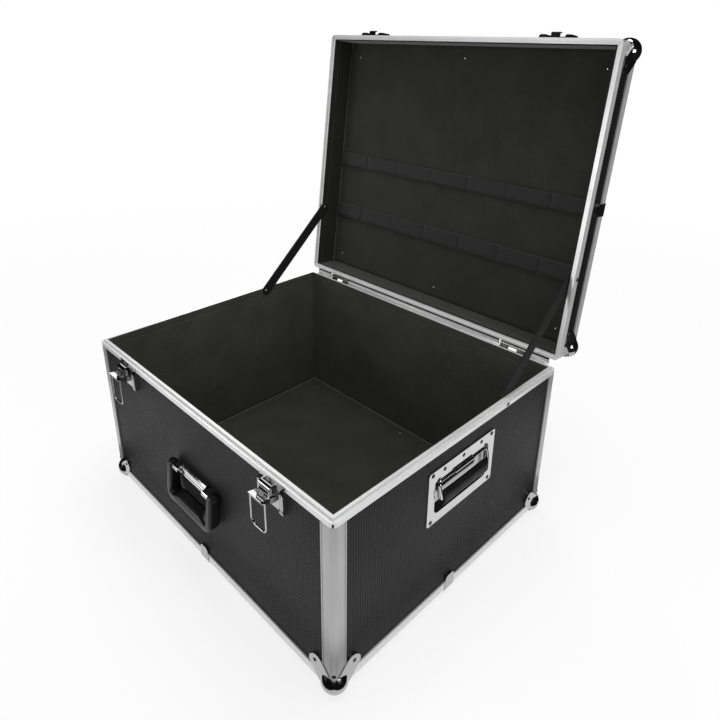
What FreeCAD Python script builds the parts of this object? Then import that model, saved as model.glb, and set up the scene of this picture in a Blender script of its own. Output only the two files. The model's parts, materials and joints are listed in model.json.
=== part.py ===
import FreeCAD, Part
import math
import os

Vec = FreeCAD.Vector

# Case, measured over the edge profiles
case_width = 600.0
case_depth = 490.0
base_height = 280.0
lid_height = 60.0
lid_open_angle = 97.0

# Laminated panels and felt lining
panel_thick = 7.0
liner_thick = 1.5
liner_play = 0.4

# Angle profiles along the edges, with a bead along each leg
edge_leg = 21.0
edge_wall = 1.5
edge_radius = 8.0
bead_width = 2.0
bead_proud = 0.6
profile_gap = 0.2

# Rim rails: a tongue on the base, a groove on the lid
tongue_height = 3.0
tongue_inset = 4.8
tongue_chamfer = 0.6
rim_web = 2.0
rim_inner_wall = 1.5
rim_inner_leg = 12.0
base_flange = 7.0
lid_flange = 13.0
lip_thick = 3.2
rim_gap = 0.6
mitre_reach = 20.0

# Ball corners: a pressed ball with three leaves
ball_radius = 18.6
ball_inset = 11.6
leaf_thick = 1.2
leaf_width = 28.0
leaf_reach = 58.0
leaf_round = 12.0
leaf_start = 6.0

# Edge clips over the middle of each edge
clip_width = 20.0
clip_thick = 1.2
clip_tab = 10.0
clip_bevel = 4.0
side_clip_shift = -11.0

# Hinges on the back
hinge_end_inset = 84.0
hinge_length = 50.0
hinge_knuckles = 3
hinge_out = 6.0
hinge_up = 3.0
hinge_barrel = 3.5
hinge_pin = 1.5
hinge_leaf_thick = 2.0
hinge_leaf_drop = 26.0
knuckle_gap = 0.3

# Toggle latches on the front
latch_end_inset = 108.0
latch_width = 51.0
latch_height = 46.0
latch_plate = 1.5
latch_joggle = 4.0
latch_rib = 7.0
latch_corner = 6.0
flank_gap = 1.1
flank_groove = 0.9
latch_top_gap = 0.5
cheek_span = 19.0
cheek_thick = 1.5
cheek_ear = 6.0
bar_radius = 4.2
bar_out = 10.0
bar_drop = 8.0
lever_pivot_out = 8.0
lever_pivot_drop = 23.0
lever_pin = 1.5
lever_ear = 3.5
lever_length = 22.0
lever_plate_start = 13.0
lever_plate_offset = 2.0
lever_plate_thick = 2.0
lever_side = 1.5
lever_side_gap = 0.3
lever_open_angle = 12.0
lever_closed_angle = -98.0
pin_proud = 0.3
bail_arm = 16.0
bail_barrel = 2.6
bail_wire = 1.4
bail_length = 45.0
bail_half_span = 15.0
bail_corner = 8.0
bail_stub_end = 4.0

# Keepers on the lid
keeper_width = 51.0
keeper_height = 30.0
keeper_foot = 2.0
hook_width = 15.0
hook_wall = 1.5
hook_lip = 3.0
hook_play = 0.3

# Running clearance of every pin in its bore
pin_play = 0.05

# Carry handle on the front
handle_rim_drop = 119.0
handle_pivot_out = 8.0
handle_pin = 2.5
handle_width = 122.0
handle_arm = 12.0
handle_arm_gap = 0.3
handle_eye = 8.5
handle_grip_out = 12.0
handle_grip_drop = 44.0
handle_grip_end = 10.5
handle_grip_mid = 11.5
handle_nose = 4.0
handle_swell = 60.0
handle_corner = 16.0
channel_drop = 7.0
channel_height = 16.0
channel_out = 7.0
channel_wall = 1.5
channel_bevel = 2.0
boss_radius = 6.0
boss_length = 14.7

# Drop handles on the two ends
drop_rim_drop = 78.0
drop_plate_width = 150.0
drop_plate_height = 88.5
drop_plate_round = 4.0
drop_window_width = 122.0
drop_window_height = 59.0
drop_window_round = 10.0
dish_wall = 1.0
dish_play = 0.2
drop_pivot_rise = 22.0
drop_pivot_out = 0.5
drop_rod = 2.0
drop_barrel = 3.4
drop_barrel_half = 22.0
drop_flap_half = 50.0
drop_slot_half = 20.0
drop_slot_height = 1.8
drop_arm_spread = 52.0
drop_arm_thick = 5.0
drop_arm_width = 9.0
drop_grip_radius = 11.0
drop_grip_flat = 5.5
drop_grip_drop = 26.0
drop_grip_out = 4.5
drop_core = 3.5
drop_grip_gap = 0.3
drop_grip_waist = 1.0

# Webbing lid stays
strap_width = 21.0
strap_thick = 1.6
strap_gap = 0.3
strap_base_reach = 141.0
strap_lid_reach = 137.0
strap_lid_rise = 8.5
strap_tail = 8.0

# Elastic bands in the lid, sewn down at an even pitch
band_thick = 1.2
band_upper_width = 25.0
band_lower_width = 28.0
band_upper_reach = 244.0
band_lower_reach = 133.5
band_pitch = 85.0
band_stitches = 6
band_swell = 3.0
band_end_gap = 0.4

half_w = case_width / 2
half_d = case_depth / 2
foot = ball_radius - ball_inset
floor_z = foot + edge_wall
floor_top = floor_z + panel_thick
rim_top = foot + base_height
part_z = rim_top - tongue_height
wall_top = part_z - rim_web
panel_in = edge_wall + panel_thick
rim_depth = panel_in + rim_inner_wall
liner_in = panel_in + liner_thick
lid_z = part_z + rim_gap
lid_top = lid_z + lid_height
lid_web = lid_z + tongue_height
lid_wall_foot = lid_web + rim_web
hinge_x = half_w - hinge_end_inset
latch_x = half_w - latch_end_inset
handle_pivot_height = rim_top - handle_rim_drop
drop_centre_height = rim_top - drop_rim_drop
hinge_y = half_d + hinge_out
hinge_z = rim_top + hinge_up
X = Vec(1, 0, 0)
Y = Vec(0, 1, 0)
Z = Vec(0, 0, 1)


def box(x0, x1, y0, y1, z0, z1):
    """A block between two opposite corners."""
    return Part.makeBox(x1 - x0, y1 - y0, z1 - z0, Vec(x0, y0, z0))


def fuse(first, *others):
    """One clean solid from touching shapes."""
    return first.fuse(list(others)).removeSplitter()


def group(shapes):
    """Separate solids of one piece group."""
    return Part.makeCompound([solid for shape in shapes for solid in shape.Solids])


def mirrored(shape):
    """The same piece on the other end of the case."""
    return shape.mirror(Vec(0, 0, 0), X)


def moved(shape, dx, dy, dz):
    """A copy of a shape, shifted."""
    return shape.translated(Vec(dx, dy, dz))


def plane(origin, a, b):
    """Turns two numbers into a point on the plane through origin along a and b."""
    return lambda s, t: origin + a * s + b * t


def outline(place, start, steps):
    """A closed face; a step of two numbers is a line, one of four an arc through the first pair."""
    edges = []
    here = place(*start)
    for step in steps + [start]:
        there = place(*step[-2:])
        if len(step) == 4:
            edges.append(Part.Arc(here, place(*step[:2]), there).toShape())
        elif here.distanceToPoint(there) > 1e-6:
            edges.append(Part.makeLine(here, there))
        here = there
    return Part.Face(Part.Wire(edges))


def panel_core(z0, z1, edge_z):
    """The room inside the profiles, bevelled to clear their inner bends, upright and round one end."""
    x1 = half_w - edge_wall
    y1 = half_d - edge_wall
    core = box(-x1, x1, -y1, y1, z0, z1)
    edges = []
    for edge in core.Edges:
        ends = [vertex.Z for vertex in edge.Vertexes]
        upright = abs(ends[0] - ends[1]) > 1e-6
        if upright or abs(ends[0] - edge_z) < 1e-6:
            edges.append(edge)
    return core.makeChamfer(edge_radius - edge_wall, edges)


def rounded_outline(z0, z1):
    """The outside of the case in plan, with its rounded corners, between two heights."""
    block = box(-half_w, half_w, -half_d, half_d, z0, z1)
    edges = [edge for edge in block.Edges if abs(edge.Vertexes[0].Z - edge.Vertexes[1].Z) > 1e-6]
    return block.makeFillet(edge_radius, edges)


def angle_length(corner, a, b, along):
    """A length of beaded angle profile whose sharp outer corner would run along an edge."""
    mid_out = edge_radius - edge_radius * math.sqrt(0.5)
    mid_in = edge_radius - (edge_radius - edge_wall) * math.sqrt(0.5)
    bead = edge_leg - bead_width
    face = outline(plane(corner, a, b), (edge_radius, 0), [
        (bead, 0),
        (bead, -bead_proud),
        (edge_leg, -bead_proud),
        (edge_leg, edge_wall),
        (edge_radius, edge_wall),
        (mid_in, mid_in, edge_wall, edge_radius),
        (edge_wall, edge_leg),
        (-bead_proud, edge_leg),
        (-bead_proud, bead),
        (0, bead),
        (0, edge_radius),
        (mid_out, mid_out, edge_radius, 0),
    ])
    return face.extrude(along)


def corner_posts(z0, z1):
    """Upright profiles on the four corners."""
    posts = []
    for sx in (-1, 1):
        for sy in (-1, 1):
            posts.append(angle_length(Vec(sx * half_w, sy * half_d, z0), X * -sx, Y * -sy, Z * (z1 - z0)))
    return posts


def level_edges(z, up):
    """Profiles along the four edges of the floor or of the lid's top, between the posts."""
    run_x = half_w - edge_leg - profile_gap
    run_y = half_d - edge_leg - profile_gap
    edges = []
    for side in (-1, 1):
        edges.append(angle_length(Vec(-run_x, side * half_d, z), Y * -side, Z * up, X * (2 * run_x)))
        edges.append(angle_length(Vec(side * half_w, -run_y, z), X * -side, Z * up, Y * (2 * run_y)))
    return edges


def leaf(corner, a, b, out):
    """A leaf of a ball corner, along the diagonal of one face."""
    spread = leaf_width / math.sqrt(2)
    tip = leaf_reach / math.sqrt(2)
    back = (leaf_reach - leaf_round) / math.sqrt(2)
    flat = (leaf_width / 2 - leaf_round) / math.sqrt(2)
    turn = leaf_round / math.sqrt(2)
    hub_x = back + flat
    hub_y = back - flat
    face = outline(plane(corner - out * edge_wall, a, b), (leaf_start, leaf_start), [
        (leaf_start + spread, leaf_start),
        (hub_x + turn, hub_y - turn),
        (hub_x + leaf_round, hub_y, tip + flat, tip - flat),
        (tip - flat, tip + flat),
        (hub_y, hub_x + leaf_round, hub_y - turn, hub_x + turn),
        (leaf_start, leaf_start + spread),
    ])
    return face.extrude(out * (edge_wall + leaf_thick))


def ball_corners(z, up, core, profiles):
    """Balls on the four corners of one end, each with its three leaves."""
    pieces = []
    for sx in (-1, 1):
        for sy in (-1, 1):
            corner = Vec(sx * half_w, sy * half_d, z)
            centre = corner + Vec(-sx, -sy, up) * ball_inset
            ball = Part.makeSphere(ball_radius, centre, Z).cut(core)
            piece = fuse(
                ball,
                leaf(corner, X * -sx, Z * up, Y * sy),
                leaf(corner, Y * -sy, Z * up, X * sx),
                leaf(corner, X * -sx, Y * -sy, Z * -up),
            )
            pieces.append(piece.cut(profiles))
    return pieces


def edge_clip(corner, a, b, along, profiles):
    """A clip bent over the middle of an edge, with a tab on each panel."""
    start = corner - along * (clip_width / 2)
    outer = start - a * clip_thick - b * clip_thick
    bend = edge_radius + clip_thick
    mid_out = bend - bend * math.sqrt(0.5)
    mid_in = bend - edge_radius * math.sqrt(0.5)
    reach = edge_leg + clip_tab + clip_thick
    tab = edge_leg + clip_thick
    seat = clip_thick + edge_wall
    section = outline(plane(outer, a, b), (bend, 0), [
        (reach, 0),
        (reach, seat),
        (tab, seat),
        (tab, clip_thick),
        (bend, clip_thick),
        (mid_in, mid_in, clip_thick, bend),
        (clip_thick, tab),
        (seat, tab),
        (seat, reach),
        (0, reach),
        (0, bend),
        (mid_out, mid_out, bend, 0),
    ])
    clip = section.extrude(along * clip_width)
    ends = []
    for edge in clip.Edges:
        line = edge.valueAt(edge.FirstParameter) - edge.valueAt(edge.LastParameter)
        far = edge.valueAt(edge.FirstParameter) - outer
        at_end = max(far.dot(a), far.dot(b)) > reach - 1e-6
        if at_end and abs(line.dot(along)) < 1e-6 and edge.Length < seat + 1e-6:
            ends.append(edge)
    return clip.makeChamfer(clip_bevel, ends).cut(profiles)


def edge_clips(z, up, shift, profiles):
    """Clips on the middle of the four edges of one end."""
    clips = []
    for side in (-1, 1):
        clips.append(edge_clip(Vec(0, side * half_d, z), Y * -side, Z * up, X, profiles))
        clips.append(edge_clip(Vec(side * half_w, shift, z), X * -side, Z * up, Y, profiles))
    return clips


def rim_rails(start, steps, z0, z1):
    """Four mitred lengths of one rail section, given as inset and height."""
    rails = []
    outside = rounded_outline(z0, z1)
    for side in (-1, 1):
        across = [(half_w, half_d, X, Y), (half_d, half_w, Y, X)]
        for half_run, half_span, run, inward in across:
            origin = run * -half_run + inward * (side * half_span)
            rail = outline(plane(origin, inward * -side, Z), start, steps).extrude(run * (2 * half_run))
            mitre = outline(plane(origin + Z * z0, run, inward * -side), (0, 0), [
                (2 * half_run, 0),
                (2 * half_run - mitre_reach, mitre_reach),
                (mitre_reach, mitre_reach),
            ]).extrude(Z * (z1 - z0))
            rails.append(rail.common(mitre).common(outside))
    return rails


def wall_sheets(inset, thick, z0, z1):
    """Front, back, left and right sheets of a box; front and back run the full width."""
    x1 = half_w - inset
    y1 = half_d - inset
    front = box(-x1, x1, -y1, thick - y1, z0, z1)
    back = box(-x1, x1, y1 - thick, y1, z0, z1)
    left = box(-x1, thick - x1, thick - y1, y1 - thick, z0, z1)
    right = box(x1 - thick, x1, thick - y1, y1 - thick, z0, z1)
    return front, back, left, right


def opened(shape):
    """Swings a lid piece from shut to the open position."""
    copy = shape.copy()
    copy.rotate(Vec(0, hinge_y, hinge_z), X, -lid_open_angle)
    return copy


def slab(place, start, steps, x0, x1):
    """An outline in a plane across the width, thickened from x0 to x1."""
    return outline(lambda s, t: place(s, t) + X * x0, start, steps).extrude(X * (x1 - x0))


def rod(radius, x0, x1, centre):
    """A round bar along the width."""
    return Part.makeCylinder(radius, x1 - x0, centre + X * x0, X)


def front_point(out, z):
    """A point in front of the front plane of the case."""
    return Vec(0, -half_d - out, z)


def back_point(out, z):
    """A point behind the back plane of the case."""
    return Vec(0, half_d + out, z)


# Base shell
base_core = panel_core(floor_z, wall_top, floor_z)
base_outer = box(-half_w, half_w, -half_d, half_d, foot, wall_top)
base_walls = [sheet.common(base_core) for sheet in wall_sheets(edge_wall, panel_thick, floor_top, wall_top)]
base_floor = box(-half_w, half_w, -half_d, half_d, floor_z, floor_top).common(base_core)
base_posts = corner_posts(foot + edge_radius, part_z - base_flange)
base_edges = level_edges(foot, 1)
base_profiles = base_posts + base_edges
base_balls = ball_corners(foot, 1, base_outer, base_profiles)
base_clips = edge_clips(foot, 1, side_clip_shift, base_profiles)
base_rim = rim_rails((0, part_z - base_flange), [
    (0, part_z),
    (tongue_inset, part_z),
    (tongue_inset, rim_top - tongue_chamfer),
    (tongue_inset + tongue_chamfer, rim_top),
    (rim_depth - tongue_chamfer, rim_top),
    (rim_depth, rim_top - tongue_chamfer),
    (rim_depth, rim_top - rim_inner_leg),
    (panel_in, rim_top - rim_inner_leg),
    (panel_in, wall_top),
    (edge_wall, wall_top),
    (edge_wall, part_z - base_flange),
], rim_top - rim_inner_leg, rim_top)
base_liner = wall_sheets(panel_in, liner_thick, floor_top, rim_top - rim_inner_leg)
floor_liner_x = half_w - liner_in - liner_play
floor_liner_y = half_d - liner_in - liner_play
floor_liner = box(-floor_liner_x, floor_liner_x, -floor_liner_y, floor_liner_y,
                  floor_top, floor_top + liner_thick)

# Lid shell, shut
lid_panel_z = lid_top - edge_wall
lid_ceiling = lid_panel_z - panel_thick
lid_core = panel_core(lid_wall_foot, lid_panel_z, lid_panel_z)
lid_outer = box(-half_w, half_w, -half_d, half_d, lid_wall_foot, lid_top)
lid_walls = [sheet.common(lid_core) for sheet in wall_sheets(edge_wall, panel_thick, lid_wall_foot, lid_ceiling)]
lid_panel = box(-half_w, half_w, -half_d, half_d, lid_ceiling, lid_panel_z).common(lid_core)
lid_posts = corner_posts(lid_z + lid_flange, lid_top - edge_radius)
lid_edges = level_edges(lid_top, -1)
lid_rim = rim_rails((0, lid_z), [
    (lip_thick, lid_z),
    (lip_thick, lid_web),
    (rim_depth, lid_web),
    (rim_depth, lid_web + rim_inner_leg),
    (panel_in, lid_web + rim_inner_leg),
    (panel_in, lid_wall_foot),
    (edge_wall, lid_wall_foot),
    (edge_wall, lid_z + lid_flange),
    (0, lid_z + lid_flange),
], lid_z, lid_z + lid_flange + rim_inner_leg)
lid_profiles = lid_posts + lid_edges + lid_rim
lid_balls = ball_corners(lid_top, -1, lid_outer, lid_profiles)
lid_clips = edge_clips(lid_top, -1, 0, lid_profiles)
lid_liner_x = half_w - panel_in
lid_liner_y = half_d - panel_in
lid_liner_z = lid_ceiling - liner_thick
lid_liner_top = box(-lid_liner_x, lid_liner_x, -lid_liner_y, lid_liner_y, lid_liner_z, lid_ceiling)
lid_liner_walls = wall_sheets(panel_in, liner_thick, lid_web + rim_inner_leg, lid_liner_z)


def elastic_band(reach, width):
    """A band across the lid's lining, swelling into a loop between each two rows of stitches."""
    end = half_w - liner_in - band_end_gap
    first = -band_pitch * (band_stitches - 1) / 2
    marks = [-end] + [first + band_pitch * k for k in range(band_stitches)] + [end]
    spans = list(zip(marks[:-1], marks[1:]))
    steps = [((a + b) / 2, -band_swell - band_thick, b, -band_thick) for a, b in spans]
    steps.append((end, 0))
    steps += [((a + b) / 2, -band_swell, a, 0) for a, b in reversed(spans)]
    face = outline(plane(Vec(0, half_d - reach - width / 2, lid_liner_z), X, Z), (-end, -band_thick), steps)
    return face.extrude(Y * width)


# Hinges, a leaf on each half and a pin through the knuckles
hinge_centre = back_point(hinge_out, hinge_z)
knuckle = hinge_length / hinge_knuckles


def hinge_leaf(lower, upper, flange_end, root_z, first):
    """A hinge leaf with a joggled seat on the panel and every second knuckle from first on."""
    if flange_end < root_z:
        seat = box(-hinge_length / 2, hinge_length / 2, half_d - edge_wall, half_d,
                   lower, flange_end - profile_gap)
    else:
        seat = box(-hinge_length / 2, hinge_length / 2, half_d - edge_wall, half_d,
                   flange_end + profile_gap, upper)
    plate = box(-hinge_length / 2, hinge_length / 2, half_d, half_d + hinge_leaf_thick, lower, upper)
    root = back_point(hinge_leaf_thick / 2 + knuckle_gap, root_z)
    rise = hinge_centre - root
    across = rise.cross(X).normalize() * (hinge_leaf_thick / 2)
    pieces = [plate]
    for k in range(first, hinge_knuckles, 2):
        x0 = -hinge_length / 2 + k * knuckle + knuckle_gap / 2
        x1 = x0 + knuckle - knuckle_gap
        web = Part.Face(Part.makePolygon([root - across, root + across, hinge_centre + across,
                                          hinge_centre - across, root - across]))
        pieces.append(web.translated(X * x0).extrude(X * (x1 - x0)))
        pieces.append(rod(hinge_barrel, x0, x1, hinge_centre))
    leaf_shape = fuse(seat, *pieces)
    return leaf_shape.cut(rod(hinge_pin + pin_play, -hinge_length, hinge_length, hinge_centre))


hinge_base = hinge_leaf(part_z - hinge_leaf_drop, part_z - tongue_chamfer, part_z - base_flange,
                        part_z - hinge_leaf_thick, 0)
hinge_lid = hinge_leaf(hinge_z + hinge_barrel + knuckle_gap, lid_z + hinge_leaf_drop + hinge_leaf_thick,
                       lid_z + lid_flange, hinge_z + hinge_barrel + hinge_leaf_thick, 1)
hinge_pin_rod = rod(hinge_pin, -hinge_length / 2, hinge_length / 2, hinge_centre)

# Toggle latch: body, pivot pin, lever and wire bail, on the case's centre line
pivot_z = rim_top - lever_pivot_drop
bar_z = rim_top - bar_drop
latch_half = latch_width / 2
latch_bottom = rim_top - latch_height
latch_step = part_z - base_flange
cheek_in = cheek_span / 2
cheek_out = cheek_in + cheek_thick
ear_in = cheek_out + lever_side_gap
ear_out = ear_in + lever_side
lever_pivot = front_point(lever_pivot_out, pivot_z)
flank_in = bail_half_span + bail_wire + flank_gap
flank_out = latch_rib - edge_wall


def latch_front():
    """The latch's lower part seen from the front, with two rounded corners, as a tool to trim it."""
    mid = latch_corner * (1 - math.sqrt(0.5))
    low = latch_bottom
    face = outline(plane(front_point(-edge_wall, 0), X, Z), (-latch_half, latch_step), [
        (-latch_half, low + latch_corner),
        (-latch_half + mid, low + mid, -latch_half + latch_corner, low),
        (latch_half - latch_corner, low),
        (latch_half - mid, low + mid, latch_half, low + latch_corner),
        (latch_half, latch_step),
    ])
    return face.extrude(Y * (-latch_rib - edge_wall))


def latch_body():
    """A joggled plate with a raised, grooved flank on each side, two cheeks and a rolled bar between them."""
    upper = slab(front_point, (0, latch_step - latch_joggle), [
        (latch_plate, latch_step - latch_joggle),
        (latch_plate, part_z - latch_top_gap),
        (0, part_z - latch_top_gap),
    ], -latch_half, latch_half)
    lower = slab(front_point, (-edge_wall, latch_bottom), [
        (latch_plate - edge_wall, latch_bottom),
        (latch_plate - edge_wall, latch_step - profile_gap),
        (-edge_wall, latch_step - profile_gap),
    ], -latch_half, latch_half)
    pieces = []
    skirts = []
    flank_width = latch_half - flank_in
    ear_mid = cheek_ear * math.sqrt(0.5)
    bar_mid = bar_radius * math.sqrt(0.5)
    for side in (-1, 1):
        flank = slab(front_point, (-edge_wall, latch_bottom), [
            (flank_out - latch_joggle / 2, latch_bottom),
            (flank_out, latch_bottom + latch_joggle),
            (flank_out, latch_step - latch_joggle),
            (latch_plate, latch_step),
            (0, latch_step),
            (0, latch_step - profile_gap),
            (-edge_wall, latch_step - profile_gap),
        ], min(side * flank_in, side * latch_half), max(side * flank_in, side * latch_half))
        grooves = []
        for share in (1 / 3, 2 / 3):
            foot_point = front_point(flank_out, latch_bottom)
            foot_point.x = side * (flank_in + share * flank_width)
            grooves.append(Part.makeCylinder(flank_groove, latch_height, foot_point, Z))
        skirts.append(flank.cut(grooves))
        cheek = slab(front_point, (latch_plate - edge_wall, pivot_z - cheek_ear), [
            (lever_pivot_out, pivot_z - cheek_ear),
            (lever_pivot_out + ear_mid, pivot_z - ear_mid, lever_pivot_out + cheek_ear, pivot_z),
            (bar_out + bar_radius, bar_z),
            (bar_out + bar_mid, bar_z + bar_mid, bar_out, bar_z + bar_radius),
            (latch_plate, bar_z + bar_radius),
            (latch_plate, latch_step - latch_joggle),
            (latch_plate - edge_wall, latch_step - latch_joggle),
        ], 0, cheek_thick)
        pieces.append(moved(cheek, side * (cheek_in + cheek_thick / 2) - cheek_thick / 2, 0, 0))
    pieces.append(rod(bar_radius, -cheek_out, cheek_out, front_point(bar_out, bar_z)))
    skirt = fuse(lower, *skirts).common(latch_front())
    body = fuse(upper, skirt, *pieces)
    return body.cut(rod(lever_pin + pin_play, -latch_half, latch_half, lever_pivot))


def lever_point(reach, offset):
    """A point on the open lever, by its distance from the pivot and its height over the centre line."""
    turn = math.radians(lever_open_angle)
    out = lever_pivot_out + reach * math.cos(turn) - offset * math.sin(turn)
    return front_point(out, pivot_z + reach * math.sin(turn) + offset * math.cos(turn))


def latch_lever():
    """A lever of two ears and a thumb plate, with a barrel that carries the bail."""
    top = lever_plate_offset + lever_plate_thick
    plate = slab(lever_point, (lever_plate_start, lever_plate_offset), [
        (lever_length - lever_plate_thick, lever_plate_offset),
        (lever_length, top),
        (lever_plate_start, top),
    ], -ear_out, ear_out)
    pieces = [rod(bail_barrel, -ear_out, ear_out, lever_point(bail_arm, 0))]
    for side in (-1, 1):
        ear = slab(lever_point, (0, -lever_ear), [
            (bail_arm, -bail_barrel),
            (lever_length - lever_plate_thick, lever_plate_offset),
            (lever_length, top),
            (lever_plate_start, top),
            (0, lever_ear),
            (-lever_ear, 0, 0, -lever_ear),
        ], 0, lever_side)
        pieces.append(moved(ear, side * (ear_in + lever_side / 2) - lever_side / 2, 0, 0))
    lever = fuse(plate, *pieces)
    bores = [
        rod(lever_pin + pin_play, -latch_half, latch_half, lever_pivot),
        rod(bail_wire + pin_play, -latch_half, latch_half, lever_point(bail_arm, 0)),
    ]
    return lever.cut(bores)


def latch_bail():
    """A wire loop hanging from the lever's barrel, its two ends turned in at a sharp elbow."""
    place = plane(lever_point(bail_arm, 0), X, Z)
    span = bail_half_span
    low = bail_corner - bail_length
    flat = span - bail_corner
    reach = 2 * bail_wire
    stub = rod(bail_wire, bail_stub_end, span + reach, place(0, 0))
    leg = Part.makeCylinder(bail_wire, reach - low, place(span, low), Z)
    mitre = plane(place(span, 0) - Y * reach, X, Z)
    above = outline(mitre, (-reach, -reach), [(reach, reach), (-reach, reach)]).extrude(Y * (2 * reach))
    below = outline(mitre, (-reach, -reach), [(2 * reach, 2 * reach), (2 * reach, -reach)])
    section = Part.Face(Part.Wire(Part.makeCircle(bail_wire, place(span, low), Z)))
    bend = section.revolve(place(flat, low), Y, 90)
    right = [stub.cut(below.extrude(Y * (2 * reach))), leg.cut(above), bend]
    left = [mirrored(piece) for piece in right]
    return fuse(rod(bail_wire, -flat, flat, place(0, -bail_length)), *right, *left)


def keeper():
    """A keeper on the lid: a joggled plate with two raised flanks and a hook under the bail's closed bar."""
    turn = math.radians(lever_closed_angle)
    bar_o = lever_pivot_out + bail_arm * math.cos(turn)
    seat_z = pivot_z + bail_arm * math.sin(turn) + bail_length - bail_wire - hook_play
    lip_o = bar_o + bail_wire + hook_play
    step = lid_z + lid_flange
    hook = slab(front_point, (0, lid_z + keeper_foot), [
        (latch_plate, lid_z + keeper_foot),
        (latch_plate, seat_z - hook_wall),
        (lip_o, seat_z - hook_wall),
        (lip_o + hook_wall, seat_z),
        (lip_o + hook_wall, seat_z + bail_wire + hook_lip),
        (lip_o, seat_z + bail_wire + hook_lip),
        (lip_o, seat_z),
        (latch_plate, seat_z),
        (latch_plate, seat_z + latch_joggle),
        (0, seat_z + latch_joggle),
    ], -hook_width / 2, hook_width / 2)
    foot_plate = slab(front_point, (0, lid_z + keeper_foot), [
        (latch_plate, lid_z + keeper_foot),
        (latch_plate, step + latch_joggle),
        (0, step + latch_joggle),
    ], -keeper_width / 2, keeper_width / 2)
    upper = slab(front_point, (-edge_wall, step + profile_gap), [
        (latch_plate - edge_wall, step + profile_gap),
        (latch_plate - edge_wall, lid_z + keeper_height),
        (-edge_wall, lid_z + keeper_height),
    ], -keeper_width / 2, keeper_width / 2)
    low = lid_z + keeper_foot
    high = lid_z + keeper_height
    flanks = []
    for side in (-1, 1):
        ends = sorted((side * flank_in, side * keeper_width / 2))
        flanks.append(slab(front_point, (0, low), [
            (latch_plate, low),
            (flank_out, low + latch_joggle),
            (flank_out, high - latch_joggle),
            (latch_plate, high),
            (-edge_wall, high),
            (-edge_wall, step + profile_gap),
            (0, step + profile_gap),
        ], *ends))
    return fuse(hook, foot_plate, upper, *flanks)


body_shape = latch_body()
lever_shape = latch_lever()
bail_shape = latch_bail()
keeper_shape = opened(keeper())
lever_pin_rod = rod(lever_pin, -ear_out - pin_proud, ear_out + pin_proud, lever_pivot)

# Carry handle: a steel channel with two bosses, two pins and a moulded grip
handle_pivot = front_point(handle_pivot_out, handle_pivot_height)
grip_z = handle_pivot_height - handle_grip_drop
handle_half = handle_width / 2
arm_in = handle_half - handle_arm
boss_out = arm_in - handle_arm_gap
boss_in = boss_out - boss_length


def handle_bracket():
    """A folded channel on the panel between two blocks, each with a boss for one of the handle's pins."""
    low = handle_pivot_height - channel_drop
    high = low + channel_height
    inner = channel_out - channel_wall
    channel = slab(front_point, (-edge_wall, low), [
        (channel_out, low),
        (channel_out, high - channel_bevel),
        (channel_out - channel_bevel, high),
        (-edge_wall, high),
        (-edge_wall, high - channel_wall),
        (inner - channel_bevel, high - channel_wall),
        (inner, high - channel_wall - channel_bevel),
        (inner, low + channel_wall),
        (-edge_wall, low + channel_wall),
    ], -boss_in, boss_in)
    pieces = []
    for side in (-1, 1):
        x0 = min(side * boss_in, side * boss_out)
        pieces.append(rod(boss_radius, x0, x0 + boss_length, handle_pivot))
        block = slab(front_point, (-edge_wall, handle_pivot_height - boss_radius), [
            (handle_pivot_out, handle_pivot_height - boss_radius),
            (handle_pivot_out, handle_pivot_height + boss_radius),
            (-edge_wall, handle_pivot_height + boss_radius),
        ], x0, x0 + boss_length)
        pieces.append(block)
    bracket = fuse(channel, *pieces)
    return bracket.cut(rod(handle_pin + pin_play, -handle_half, handle_half, handle_pivot))


def handle_grip():
    """A moulded grip: a bar with a slight swell between two arms, rounded where they meet."""
    half = handle_half
    inner = half - handle_nose
    nose = handle_grip_end - handle_nose
    profile = outline(plane(front_point(handle_grip_out, grip_z), X, Y), (-half, 0), [
        (-half, nose),
        (-inner, handle_grip_end),
        (-handle_swell / 2, handle_grip_mid),
        (handle_swell / 2, handle_grip_mid),
        (inner, handle_grip_end),
        (half, nose),
        (half, 0),
    ])
    pieces = []
    run_o = handle_grip_out - handle_pivot_out
    span = math.hypot(run_o, handle_grip_drop)
    lean = math.atan2(-handle_grip_drop, run_o)
    arm = nose + handle_nose / 2
    wrap = math.acos((handle_eye - arm) / span)

    def on(centre_o, centre_z, radius, turn):
        return centre_o + radius * math.cos(lean + turn), centre_z + radius * math.sin(lean + turn)

    for side in (-1, 1):
        eye = (handle_pivot_out, handle_pivot_height)
        end = (handle_grip_out, grip_z)
        face_start = on(*eye, handle_eye, wrap)
        steps = [
            on(*eye, handle_eye, math.pi) + on(*eye, handle_eye, -wrap),
            on(*end, arm, -wrap),
            on(*end, arm, 0) + on(*end, arm, wrap),
        ]
        x0 = min(side * arm_in, side * half)
        pieces.append(slab(front_point, face_start, steps, x0, x0 + handle_arm))
    grip = fuse(profile.revolve(front_point(handle_grip_out, grip_z), X, 360), *pieces)
    top = handle_pivot_height + 2 * handle_eye
    low = grip_z - handle_grip_mid
    turn = low + handle_corner
    flat = half - handle_corner
    mid = handle_corner * math.sqrt(0.5)
    front = outline(plane(front_point(2 * handle_grip_drop, 0), X, Z), (-half, top), [
        (-half, turn),
        (-flat - mid, turn - mid, -flat, low),
        (flat, low),
        (flat + mid, turn - mid, half, turn),
        (half, top),
    ])
    grip = grip.common(front.extrude(Y * (4 * handle_grip_drop)))
    return grip.cut(rod(handle_pin + pin_play, -half, half, handle_pivot))


def handle_pins():
    """A pin through each boss and arm, flush with the outside of the grip."""
    pins = []
    for side in (-1, 1):
        x0 = min(side * boss_in, side * handle_half)
        pins.append(rod(handle_pin, x0, x0 + handle_half - boss_in, handle_pivot))
    return pins


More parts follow.
